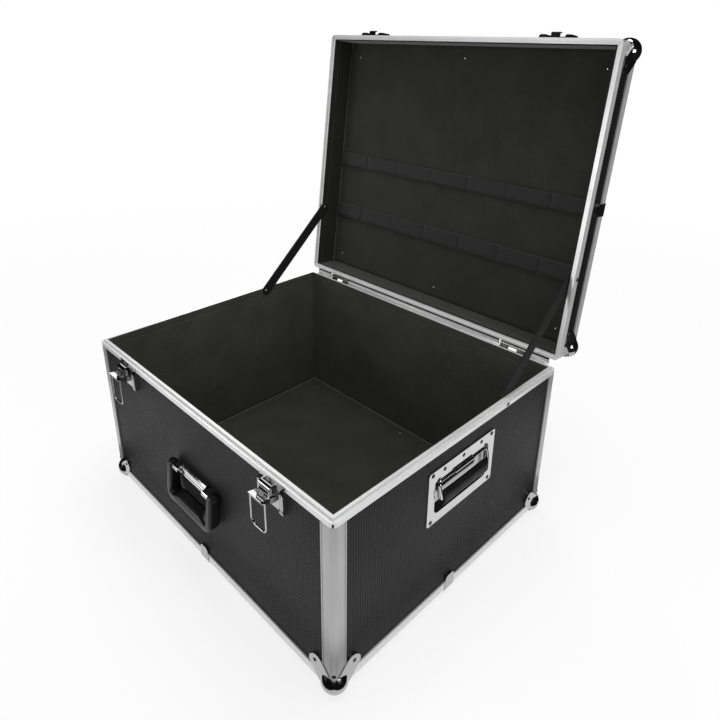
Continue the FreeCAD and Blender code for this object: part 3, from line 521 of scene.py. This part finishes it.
# One felt lines the whole case, in four tones that are lit and shaded copies of it. The base walls and their collar
# are painted lighter (painted light), and the lid's walls and collar darker (painted shade), than the floor and the
# lid's ceiling.
base_wall_felt_painted_light = felt("base_wall_felt_painted_light", 0.047)
floor_felt = felt("floor_felt", 0.025)
lid_felt = felt("lid_felt", 0.022)
lid_wall_felt_painted_shade = felt("lid_wall_felt_painted_shade", 0.011)
print("four shades of felt")


# %% A wall or floor sheet
def felt_grid(corner, along, up, inward, rows=60, columns=90, ripple=0.00022):
    """A flat grid from a corner along two edge vectors, dented away from the room by slow sine waves
    that fade to nothing along all four edges."""
    s, t = np.meshgrid(np.linspace(0, 1, columns), np.linspace(0, 1, rows))
    corner, along, up, inward = (np.array(v, float) for v in (corner, along, up, inward))
    wide, high = np.linalg.norm(along), np.linalg.norm(up)
    waves = np.sin(23 * s * wide + 9 * t * high) + np.sin(31 * t * high - 7 * s * wide + 1.3)
    fade = np.clip(np.minimum.reduce([s * wide, (1 - s) * wide, t * high, (1 - t) * high]) / 0.03, 0, 1)
    dent = -ripple * (2 + waves) / 4 * fade
    return corner + s[..., None] * along + t[..., None] * up + dent[..., None] * inward


def lined(name, grids, finish, body, node):
    """Makes one lining from its sheets, thickens it away from the room and fixes it to its body."""
    piece = surface(name, np.array(grids), finish)
    thicken(piece, 0.0011)
    fasten(piece, body, node)


def wall_ring(x, y, low, high):
    """The four wall sheets of a room, facing inwards, in the order front, right, back, left."""
    height = (0, 0, high - low)
    return [
        felt_grid((x, -y, low), (-2 * x, 0, 0), height, (0, 1, 0)),
        felt_grid((x, y, low), (0, -2 * y, 0), height, (-1, 0, 0)),
        felt_grid((-x, y, low), (2 * x, 0, 0), height, (0, -1, 0)),
        felt_grid((-x, -y, low), (0, 2 * y, 0), height, (1, 0, 0)),
    ]


# %% Line the base
room_x, room_y = 0.2900, 0.2350
floor_low, floor_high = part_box("base_liner_floor")
walls_low, walls_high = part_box("base_liner_walls")
floor_x, floor_y = floor_high.x, floor_high.y
floor_sheet = felt_grid((-floor_x, -floor_y, floor_high.z), (2 * floor_x, 0, 0), (0, 2 * floor_y, 0), (0, 0, 1))
lined("base_lining_floor", [floor_sheet], floor_felt, "base",
      "base_liner_floor")
base_walls = wall_ring(room_x, room_y, walls_low.z, walls_high.z)
lined("base_lining_walls", base_walls, base_wall_felt_painted_light, "base",
      "base_liner_walls")

# %% Line the lid
lid_wall_low, lid_ceiling = 0.2996, 0.3346
sheet_x, sheet_y = 0.2912, 0.2362
lid_sheet = felt_grid((-sheet_x, sheet_y, lid_ceiling), (2 * sheet_x, 0, 0), (0, -2 * sheet_y, 0), (0, 0, -1))
lined("lid_lining_top", [swing(lid_sheet)], lid_felt, "lid",
      "lid_liner_top")
lid_walls = [swing(wall) for wall in wall_ring(room_x, room_y, lid_wall_low, lid_ceiling)]
lined("lid_lining_walls", lid_walls, lid_wall_felt_painted_shade, "lid",
      "lid_liner_walls")

# %% [markdown]
# A narrow strip of the same felt is glued up the inner leg of each rim and turned over its edge, so that
# only the outer part of the metal shows. The wall sheets could run on to the edge, but they lie behind
# that leg. So the strip is a bent profile of its own, carried round the four sides with mitred corners.


# %% Felt collars of the rims
half_w, half_d = 0.300, 0.245
leg_depth, collar_thick = 0.010, 0.00025
base_rim_edge, lid_rim_edge = 0.2870, 0.2876


def collar(name, foot_z, edge_z, turn_over, way, finish, body):
    """A profile up the rim's leg and over its edge, carried along the four walls: each point keeps its
    depth from the outside of the case, so neighbouring strips meet on the diagonal."""
    folded = np.linspace(leg_depth, leg_depth - turn_over, 6)
    depth = np.concatenate([np.full(12, leg_depth + collar_thick), folded])
    z = np.concatenate([np.linspace(foot_z, edge_z, 12), np.full(6, edge_z + way * collar_thick)])[:, None]
    u = way * np.linspace(1, -1, 60)
    x, y = (half_w - depth)[:, None], (half_d - depth)[:, None]
    walls = [(u * x, 0 * u - y, z), (0 * u + x, u * y, z), (-u * x, 0 * u + y, z), (0 * u - x, -u * y, z)]
    grids = np.array([np.stack(np.broadcast_arrays(*wall), -1) for wall in walls])
    piece = surface(name, swing(grids) if body == "lid" else grids, finish)
    thicken(piece, collar_thick)
    fasten(piece, body)


collar("base_lining_collar", walls_high.z, base_rim_edge, 0.0006, 1, base_wall_felt_painted_light, "base")
collar("lid_lining_collar", lid_wall_low, lid_rim_edge, 0.0018, -1, lid_wall_felt_painted_shade, "lid")

# %% [markdown]
# ## Elastic bands
# Two ribbed elastic bands cross the lid, sewn down at an even pitch, so that a tool or cable slides
# under each loop. A simulated ribbon would settle much as the formula does: the band stands off the
# lining a little and dips to it at each seam, and its free edge stands out further than the other.


# %% Elastic finish
def elastic_finish(name, tone):
    """Ribbed elastic: rubber cores show as ribs along the strip, wrapped in a fine cross thread. Its colour is darker
    in the grooves: painted shade.
    """
    material, tree, shader = finish_tree(
        name, Roughness=0.75, Specular_IOR_Level=0.3, Sheen_Weight=0.35, Sheen_Roughness=0.4)
    strip = tree.nodes.new("ShaderNodeUVMap").outputs[0]
    split = tree.nodes.new("ShaderNodeSeparateXYZ")
    tree.links.new(strip, split.inputs[0])
    rib = wave(tree, split.outputs["Y"], 0.0016)
    thread = wave(tree, split.outputs["X"], 0.0008)
    woven = add(tree, "Math", {0: rib, 1: add(tree, "Math", {0: thread, 1: 0.35}, operation="MULTIPLY")},
                operation="ADD")
    height = ramp(tree, woven, 0.0, 1.0, -1.35, 1.35)
    # Painted shade: the colour follows the rib height, darkest in the grooves.
    tree.links.new(ramp(tree, height, grey(tone * 0.55), grey(tone * 1.4)), shader.inputs["Base Color"])
    relief(tree, shader, height, 0.0003, 0.6)
    return material


black_elastic = elastic_finish("black_elastic", 0.022)
seam_thread = moulded("seam_thread", 0.006, 0.6, 0.0004, 0.00005, 0.2)
print("elastic and its thread")

# %% Band shape
band_end, band_gap, loop_pitch = 0.2896, 0.0012, 0.085
band_marks = np.concatenate([[-band_end], (np.arange(6) - 2.5) * loop_pitch, [band_end]])
print(len(band_marks) - 1, "loops in each band")


def band_rise(x):
    """How far the band stands off the lining: it dips to each seam in a quarter ellipse 14 mm long."""
    reach = np.abs(x[..., None] - band_marks).min(-1)
    return 0.0022 * np.sqrt(1 - (1 - np.clip(reach / 0.014, 0, 1)) ** 2)


def elastic_band(which, reach, width):
    """A strip on the lid's ceiling, reach from the hinged edge, standing off as band_rise says, with its
    free edge a fifth higher than its sewn one."""
    x, t = np.meshgrid(np.linspace(-band_end, band_end, 421), np.linspace(0, 1, 9))
    y = half_d - reach + (0.5 - t) * width
    z = lid_ceiling - band_gap - band_rise(x) * (0.8 + 0.2 * t)
    piece = surface("elastic_loop_" + which, swing(np.stack([x, y, z], -1))[None], black_elastic,
                    uv=np.stack([x, t * width], -1))
    thicken(piece, 0.0010)
    fasten(piece, "lid", "elastic_band_" + which)
    return piece


# %% Seams of thread
def stitch_row(which, reach, width):
    """At each seam seven stitches cross the band: short half rings, thick in the middle."""
    turn, around = np.meshgrid(np.linspace(0, math.pi, 9), np.linspace(0, 2 * math.pi, 9), indexing="ij")
    half, wire = width / 15, 0.00045
    fat = wire * np.sqrt(np.clip(np.sin(turn), 0, 1))
    dy = -half * np.cos(turn) * 0.92
    dz = -0.0002 - 0.0004 * np.sin(turn) - fat * np.sin(around)
    dx = fat * np.cos(around)
    seam, k = np.meshgrid(band_marks[1:-1], np.arange(7), indexing="ij")
    centre_y = half_d - reach + (k - 3) * width / 7.6
    x = seam.ravel()[:, None, None] + dx
    y = centre_y.ravel()[:, None, None] + dy
    z = lid_ceiling - band_gap + np.broadcast_to(dz, x.shape)
    piece = surface("elastic_seams_" + which, swing(np.stack([x, y, z], -1)), seam_thread)
    fasten(piece, "lid")
    return piece


for which, reach, width in (("upper", 0.244, 0.025), ("lower", 0.1335, 0.028)):
    band = elastic_band(which, reach, width)
    seams = stitch_row(which, reach, width)

# %% [markdown]
# ## Lid stays
# A webbing strap on each end keeps the open lid from falling back. It is riveted to the wall of the
# base and to the wall of the lid. A flat strip is enough for it, because it is taut when the lid is
# open; when the lid shuts it folds between the two.


# %% Webbing finish
def webbing_finish(name, tone):
    """A close plain weave: two sets of threads cross and take turns on top. Its colour is darker where a thread dips
    under: painted shade.
    """
    material, tree, shader = finish_tree(name, Roughness=0.75, Specular_IOR_Level=0.15, Sheen_Weight=0.05)
    strip = tree.nodes.new("ShaderNodeUVMap").outputs[0]
    split = tree.nodes.new("ShaderNodeSeparateXYZ")
    tree.links.new(strip, split.inputs[0])
    weave = add(tree, "Math", {0: wave(tree, split.outputs["X"], 0.0030), 1: wave(tree, split.outputs["Y"], 0.0022)},
                operation="MULTIPLY")
    height = ramp(tree, weave, 0.0, 1.0, -1.0, 1.0)
    # Painted shade: the colour follows the weave height, darkest where a thread dips under.
    tree.links.new(ramp(tree, height, grey(tone * 0.55), grey(tone * 1.45)), shader.inputs["Base Color"])
    relief(tree, shader, height, 0.0004, 0.7)
    return material


black_webbing = webbing_finish("black_webbing", 0.012)
print(black_webbing.name, "ready")

# %% Strap shape
stay_x, stay_half, stay_tail = 0.2889, 0.0105, 0.008
stay_base = np.array([0.104, 0.2805])
stay_lid = np.array([0.27150, 0.43150])


def lid_stay(side, sign):
    """A strip between the two rivets with half-round ends: its half width is that of a circle near each
    end and constant between."""
    run = stay_lid - stay_base
    length = np.linalg.norm(run)
    run = run / length
    ends = stay_half * (1 - np.cos(np.linspace(0, math.pi / 2, 9)))
    total = length + 2 * stay_tail
    s = np.concatenate([ends, np.linspace(stay_half, total - stay_half, 90)[1:-1], total - ends[::-1]])
    reach = np.minimum(s, total - s)
    wide = stay_half * np.sqrt(np.clip(1 - (1 - np.minimum(reach / stay_half, 1)) ** 2, 0, 1))
    t = np.linspace(-1, 1, 9)
    across = wide[:, None] * t
    y = stay_base[0] + run[0] * (s[:, None] - stay_tail) - run[1] * across
    z = stay_base[1] + run[1] * (s[:, None] - stay_tail) + run[0] * across
    x = np.full_like(y, sign * stay_x)
    along = np.broadcast_to(s[:, None], y.shape)
    piece = surface("lid_stay_" + side, np.stack([x, y, z], -1)[None], black_webbing,
                    uv=np.stack([along, across], -1))
    thicken(piece, 0.0016, 0.0)
    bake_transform(piece)
    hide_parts("strap_" + side)
    print(piece.name, round(total * 1000), "mm long")


lid_stay("right", 1)
lid_stay("left", -1)

# %% [markdown]
# ## Hinge strips
# Over the hinges a bright line shows behind the base's rim and a dark one above it. The bright line is
# a metal strip. The dark one is the shaded gap to the lid, made as a strip of black rubber behind the metal:
# painted shade. Flat sheets would do; a section with a step in it is stiffer, and it keeps both strips
# within the circle that the lid's edge swings round.


# %% Strip surface
strip_face, strip_foot = 0.2452, 0.2775
step_foot, step_high, step_back = 0.2832, 0.0045, 0.0027


def strip(name, lead, thick, top, finish, slot):
    """A line that climbs, steps back 2.7 mm by a smooth step and climbs to its top, doubled at its thickness
    into a closed section; carried along X over three runs that leave room for the hinges, and drawn
    together at both ends of each run."""
    runs = np.array([(-0.284, -0.243), (-0.189, 0.189), (0.243, 0.284)])
    z = np.linspace(strip_foot, top, 24)
    step = np.clip((z - step_foot) / step_high, 0, 1)
    y = strip_face + lead + step_back * step * step * (3 - 2 * step)
    y, z = np.concatenate([y[::-1], y + thick, y[-1:]]), np.concatenate([z[::-1], z, z[-1:]])
    x = runs[:, :1] + np.array([0.0, 0.0, 1.0, 1.0]) * (runs[:, 1:] - runs[:, :1])
    shrink = np.array([0.0, 1.0, 1.0, 0.0])[:, None]
    y, z = y.mean() + shrink * (y - y.mean()), z.mean() + shrink * (z - z.mean())
    x, y, z = np.broadcast_arrays(x[:, :, None], y, z)
    fasten(surface(name, np.stack([x, y, z], -1), finish), "base")


# Black rubber standing in for the shaded gap between the rims: painted shade.
shade_strip_rubber = moulded("shade_strip_rubber", 0.010, 0.55, 0.0010, 0.00006, 0.3)
strip("hinge_cover", 0.0, 0.0003, 0.2922, aluminium_rim, "rim_aluminium")
strip("hinge_shade_strip", 0.0003, 0.0006, 0.2952, shade_strip_rubber, "grip_rubber")

# %% [markdown]
# ## Rivets and screws
# Everything on the boards is held by rivets with shallow domed heads, and by screws at the corners of
# the drop handles' plates. A head is a small curve turned about its axis. All the heads of one kind on
# one body are one array, so a hundred of them cost no more code than one.


# %% Turned heads
def heads(name, places, outward, radius, height, finish, body, slot="chrome"):
    """Domed heads: a quarter ellipse from the rim to the crown, turned about each outward direction, with
    a short straight rim below it that sinks into the surface."""
    places, outward = np.array(places, float), np.array(outward, float)
    outward = np.broadcast_to(outward, places.shape)
    side = np.cross(outward, np.where(abs(outward[:, :1]) > 0.9, (0.0, 1.0, 0.0), (1.0, 0.0, 0.0)))
    side = side / np.linalg.norm(side, axis=1, keepdims=True)
    other = np.cross(outward, side)
    a = np.linspace(0, math.pi / 2, 6)
    r = np.concatenate([[radius], radius * np.cos(a)])
    h = np.concatenate([[-0.0006], height * np.sin(a)])
    turn = np.linspace(0, 2 * math.pi, 19)
    flat = np.cos(turn)[:, None] * side[:, None, None] + np.sin(turn)[:, None] * other[:, None, None]
    points = places[:, None, None] + r[:, None, None] * flat + h[:, None, None] * outward[:, None, None]
    fasten(surface(name, points, finish), body)


# %% Ball corner and clip rivets
foot, lid_top = 0.007, 0.3446
corner_head = (0.0028, 0.0012)
leaf_in, leaf_out, tab_in, tab_out = 0.035, 0.0012, 0.026, -0.0003
post_in, post_up = 0.0023, 0.0317
corner_signs = np.array([(x, y) for x in (-1, 1) for y in (-1, 1)], float)


def corner_rivets(level, up):
    """Four rivets for each of the four corners at one level: on the front or back, the end, the flat and
    the rounded edge of the post."""
    x, y = corner_signs.T
    z = np.full(4, level)
    ones, zeros = np.ones(4), np.zeros(4)
    on_face = np.stack([x * (half_w - leaf_in), y * (half_d + leaf_out), z + up * leaf_in], -1)
    on_end = np.stack([x * (half_w + leaf_out), y * (half_d - leaf_in), z + up * leaf_in], -1)
    on_flat = np.stack([x * (half_w - leaf_in), y * (half_d - leaf_in), z - up * leaf_out], -1)
    on_post = np.stack([x * (half_w - post_in), y * (half_d - post_in), z + up * post_up], -1)
    out = [np.stack([zeros, y, zeros], -1), np.stack([x, zeros, zeros], -1), np.stack([zeros, zeros, -up * ones], -1),
           np.stack([x, y, zeros], -1) * math.sqrt(0.5)]
    return np.concatenate([on_face, on_end, on_flat, on_post]), np.concatenate(out)


def clip_rivets(level, up, shift):
    """Two rivets for each of the four clips at one level: on the wall and on the flat."""
    places = [(0, -half_d - tab_out, level + up * tab_in), (0, half_d + tab_out, level + up * tab_in),
              (-half_w - tab_out, shift, level + up * tab_in), (half_w + tab_out, shift, level + up * tab_in),
              (0, -half_d + tab_in, level - up * tab_out), (0, half_d - tab_in, level - up * tab_out),
              (-half_w + tab_in, shift, level - up * tab_out), (half_w - tab_in, shift, level - up * tab_out)]
    out = [(0, -1, 0), (0, 1, 0), (-1, 0, 0), (1, 0, 0)] + [(0, 0, -up)] * 4
    return np.array(places, float), np.array(out, float)


def swing_out(outward):
    """Directions on the shut lid, turned with the open lid."""
    return swing(np.array(outward, float) + (0, hinge_y, hinge_z)) - (0, hinge_y, hinge_z)


base_places, base_out = (np.concatenate(pair) for pair in zip(corner_rivets(foot, 1), clip_rivets(foot, 1, -0.011)))
lid_places, lid_out = (np.concatenate(pair) for pair in zip(corner_rivets(lid_top, -1), clip_rivets(lid_top, -1, 0)))
heads("base_corner_rivets", base_places, base_out, *corner_head, burnished_steel, "base")
heads("lid_corner_rivets", swing(lid_places), swing_out(lid_out), *corner_head, burnished_steel, "lid")

# %% Screws and rivets of the drop handles
plate_y, plate_low, plate_high = 0.067, 0.1702, 0.2483
screw_yz = [(-plate_y, plate_low), (plate_y, plate_low), (-plate_y, plate_high), (plate_y, plate_high)]
row_yz = [(-0.042, 0.2465), (0.0, 0.2465), (0.042, 0.2465)]
for side, sign in (("right", 1), ("left", -1)):
    places = [(sign * half_w, y, z) for y, z in screw_yz]
    heads("side_handle_" + side + "_screws", places, (sign, 0, 0), 0.0034, 0.0013, burnished_steel, "base", "steel")
    places = [(sign * half_w, y, z) for y, z in row_yz]
    heads("side_handle_" + side + "_rivets", places, (sign, 0, 0), 0.0030, 0.0012, burnished_steel, "base", "steel")

# %% Rivets of the latches and keepers
latch_x, latch_row, keeper_row = 0.192, 0.0151, 0.0125
latch_places = [(side * latch_x + dx, -half_d, 0.2465) for side in (-1, 1) for dx in (-latch_row, latch_row)]
heads("latch_rivets", latch_places, (0, -1, 0), 0.0021, 0.0010, burnished_steel, "base", "steel")
keeper_places = [(side * latch_x + dx, -half_d, 0.3090) for side in (-1, 1) for dx in (-keeper_row, keeper_row)]
heads("keeper_rivets", swing(keeper_places), swing_out([(0, -1, 0)]), 0.0024, 0.0010, burnished_steel, "lid", "steel")

# %% Rivets of the lid stays
stay_face = 0.2881
for side, sign in (("right", 1), ("left", -1)):
    for kind, x, way, height in (("rivet", stay_face, -sign, 0.0014), ("head", half_w, sign, 0.0013)):
        for body, end in (("base", stay_base), ("lid", stay_lid)):
            heads("stay_" + side + "_" + body + "_" + kind, [(sign * x, *end)], (way, 0, 0), 0.0036, height,
                  plated_steel, body, "steel")

# %% Rivet tails inside the lid and on the floor
lid_tails = [(x, half_d - reach, lid_ceiling) for x in (-0.263, 0.263) for reach in (0.033, 0.453)]
lid_tails += [(0.0, half_d - 0.029, lid_ceiling), (0.0, half_d - 0.460, lid_ceiling)]
heads("lid_rivet_tails", swing(lid_tails), swing_out([(0, 0, -1)]), 0.0024, 0.0008, plated_steel, "lid", "steel")
floor_face = 0.017
base_tails = [(x, y, floor_face) for x in (-0.265, 0.265) for y in (-0.210, 0.210)]
base_tails += [(0.0, -0.216, floor_face), (0.0, 0.216, floor_face)]
heads("base_rivet_tails", base_tails, (0, 0, 1), 0.0024, 0.0008, plated_steel, "base", "steel")

# %% [markdown]
# ## Dishes of the drop handles
# Behind each drop handle the plate is pressed into a shallow dish for the fingers. A sharp tray would
# be quicker, but pressed steel keeps a round at every bend, and that round is what shines. The dish is
# a set of rounded rectangles: they move inwards while they sink along a quarter circle, and then
# shrink to the middle of the flat bottom.


# %% Dish surface
def rounded_ring(half_wide, half_high, corner, inset, per_corner=12):
    """A closed rounded rectangle, inset from the window: four quarter circles joined by straight runs."""
    turn = np.linspace(0, math.pi / 2, per_corner)
    turn = np.concatenate([turn + k * math.pi / 2 for k in range(4)])
    quarter = np.repeat(np.arange(4), per_corner)
    right = np.array([1.0, -1.0, -1.0, 1.0])[quarter]
    upper = np.array([1.0, 1.0, -1.0, -1.0])[quarter]
    radius = corner - inset
    ring = np.stack([right * (half_wide - corner) + radius * np.cos(turn),
                     upper * (half_high - corner) + radius * np.sin(turn)], -1)
    return np.concatenate([ring, ring[:1]])


def dish(side, sign):
    """Rings that sink 6 mm along a quarter circle of 5 mm and then close on the middle of the bottom."""
    bend = np.linspace(0, math.pi / 2, 10)
    inset = np.concatenate([[0.0], 0.005 * (1 - np.cos(bend))])
    depth = np.concatenate([[0.0], 0.001 + 0.005 * np.sin(bend)])
    rings = np.stack([rounded_ring(*bowl_window, e) for e in inset])
    shrink = np.linspace(1, 0, 8)[1:, None, None]
    rings = np.concatenate([rings, rings[-1:] * shrink])
    depth = np.concatenate([depth, np.full(7, depth[-1])])
    x = np.broadcast_to(sign * (plate_back - depth)[:, None], rings.shape[:2])
    y, z = sign * rings[..., 0], bowl_z + rings[..., 1]
    piece = surface("side_handle_" + side + "_bowl", np.stack([x, y, z], -1)[None], chrome_dish_painted_shade)
    thicken(piece, 0.0008)
    fasten(piece, "base", "side_handle_" + side + "_dish")


# The dish is the plate's chrome at two thirds of its tone: painted shade for the recess behind the grip.
chrome_dish_painted_shade = polished("chrome_dish_painted_shade", 0.42, 0.12)
bowl_window, bowl_z, plate_back = (0.061, 0.0295, 0.010), 0.209, 0.2985
dish("right", 1)
dish("left", -1)

# %% [markdown]
# ## Drop handle bails
# Each bail is one steel bar, bent into a loop: its upper run turns in the plate's barrel, its arms are
# flattened a little, and its lower run carries the sleeve. It could be swept along a curve object; here
# a ring and its inset copies do the same, as an oval section wants it.


# %% Bail surface
drop_pivot, drop_grip = np.array([0.3005, 0.231]), np.array([0.3045, 0.205])
bail_half, bail_corner, bail_round = 0.0545, 0.0045, 0.0020


def bail(side, sign):
    """An ellipse carried round a rounded rectangle that leans out from the pivot: its height in the plane of
    the ring is an inset of the ring, and its width across that plane grows from the rod to the arms."""
    fall = np.linalg.norm(drop_grip - drop_pivot)
    lean = (drop_grip - drop_pivot) / fall
    turn = np.linspace(2 * math.pi, 0, 25)
    loop = (bail_half, fall / 2, bail_corner)
    rings = np.stack([rounded_ring(*loop, bail_round * math.cos(a)) for a in turn])
    down = fall / 2 - rounded_ring(*loop, 0.0)[:, 1]
    wide = np.interp(down, [0, bail_corner, fall - bail_corner, fall], [0.0020, 0.0038, 0.0044, 0.0034])
    v, b = fall / 2 - rings[..., 1], np.sin(turn)[:, None] * wide
    x = sign * (drop_pivot[0] + lean[0] * v - lean[1] * b)
    z = drop_pivot[1] + lean[1] * v + lean[0] * b
    piece = surface("side_handle_" + side + "_loop", np.stack([x, sign * rings[..., 0], z], -1)[None], chrome)
    fasten(piece, "side_handle_" + side, "side_handle_" + side + "_bail")


bail("right", 1)
bail("left", -1)

# %% [markdown]
# ## Rubber sleeves
# The drop handle's bar carries a rubber sleeve, moulded flat towards the case so that it lies in the
# dish. A cylinder would stand out too far. The section is a superellipse, twice as high as it is deep;
# it narrows a little in the middle of the sleeve and closes in a small round at both ends.


# %% Sleeve surface
def sleeve(side, sign):
    """A superellipse of power 2.6 carried along the bar, narrowed by a tenth in the middle by a cosine."""
    half, edge = 0.0515, 0.002
    ends = edge * (1 - np.cos(np.linspace(0, math.pi / 2, 8)))
    s = np.concatenate([ends, np.linspace(edge, 2 * half - edge, 40)[1:-1], 2 * half - ends[::-1]])
    reach = np.minimum(np.minimum(s, 2 * half - s) / edge, 1)
    inset = edge * (1 - np.sqrt(1 - (1 - reach) ** 2))
    waist = 1 - 0.09 * np.cos((s / half - 1) * math.pi / 2)
    around = np.linspace(2 * math.pi, 0, 49)
    cos, sin = np.cos(around), np.sin(around)
    out = np.sign(cos) * np.abs(cos) ** (2 / 2.6)
    high = np.sign(sin) * np.abs(sin) ** (2 / 2.6)
    core = 0.0036
    depth = np.concatenate([[core], 0.0054 - inset, [core]])
    height = np.concatenate([[core], 0.0109 * waist - inset, [core]])
    y = np.broadcast_to(np.concatenate([[0], s, [2 * half]])[:, None] - half, (len(s) + 2, 49))
    x = sign * (drop_grip[0] + depth[:, None] * out)
    z = drop_grip[1] + height[:, None] * high
    piece = surface("side_handle_" + side + "_sleeve", np.stack([x, sign * y, z], -1)[None], grip_rubber)
    fasten(piece, "side_handle_" + side, "side_handle_" + side + "_grip")


sleeve("right", 1)
sleeve("left", -1)

# %% [markdown]
# ## Carry handle
# The handle is one moulding: two flat arms that run into the grip through round corners. It could be
# carved from blocks and bevelled; carrying a rounded section along a bent path is closer to how such a
# moulding is drawn. The section is a superellipse. On the grip it thins towards the front, so that the
# fingers close round it.

# %% Handle path
arm_x, arm_half, eye_z, grip_z, bend = 0.0550, 0.0058, 0.168, 0.1188, 0.010
eye_round = 0.0085
crown = eye_round * np.sin(np.linspace(math.pi / 2, 0, 9))[:-1]
arm_line = np.linspace(0, eye_z - grip_z - bend, 26)
arc = np.linspace(0, math.pi / 2, 22)[1:]
bar_line = np.linspace(-arm_x + bend, 0, 30)[1:]
arm_count, bar_count = len(crown) + len(arm_line), len(bar_line)
path_x = np.concatenate([np.full(arm_count, -arm_x), -arm_x + bend * (1 - np.cos(arc)), bar_line])
path_z = np.concatenate(
    [eye_z + crown, eye_z - arm_line, grip_z + bend * (1 - np.sin(arc)), np.full(bar_count, grip_z)])
turned = np.concatenate([np.zeros(arm_count), arc, np.full(bar_count, math.pi / 2)])
print(len(path_x), "stations from an eye to the middle of the grip")


# %% Handle surface
def carry_handle():
    """Carries a superellipse along the path and its mirror image. The outer side keeps 5.8 mm from the path;
    the inner side swells to 16 mm on the grip and thins towards the front, and the crown closes in a half
    round about the pivot."""
    above = np.clip((path_z - eye_z) / eye_round, 0, 1)
    share = np.clip((path_x + arm_x - 0.006) / 0.022, 0, 1)
    share = (share * share * (3 - 2 * share))[:, None]
    low = np.clip((eye_z - path_z) / (eye_z - grip_z), 0, 1)
    deep = (0.0085 + 0.0019 * low) * np.sqrt(np.clip(1 - above ** 2, 0, 1))
    power = 2 / (4.4 - 1.4 * share)
    out = 0.008 + 0.004 * low
    around = np.linspace(2 * math.pi, 0, 49)
    cos, sin = np.cos(around), np.sin(around)
    front = np.sign(sin) * np.abs(sin) ** power
    inner = arm_half + 0.0100 * share * (1 - 0.42 * (1 + front))
    a = np.where(cos > 0, arm_half, inner) * np.sign(cos) * np.abs(cos) ** power
    x = path_x[:, None] - np.cos(turned)[:, None] * a
    z = path_z[:, None] - np.sin(turned)[:, None] * a
    y = -half_d - out[:, None] - deep[:, None] * front
    left = np.stack([x, y, z], -1)
    right = (left * (-1, 1, 1))[::-1]
    piece = surface("front_handle_moulding", np.concatenate([left, right[1:]])[None], black_plastic, merge=2e-6)
    fasten(piece, "front_handle", "front_handle_grip")


carry_handle()
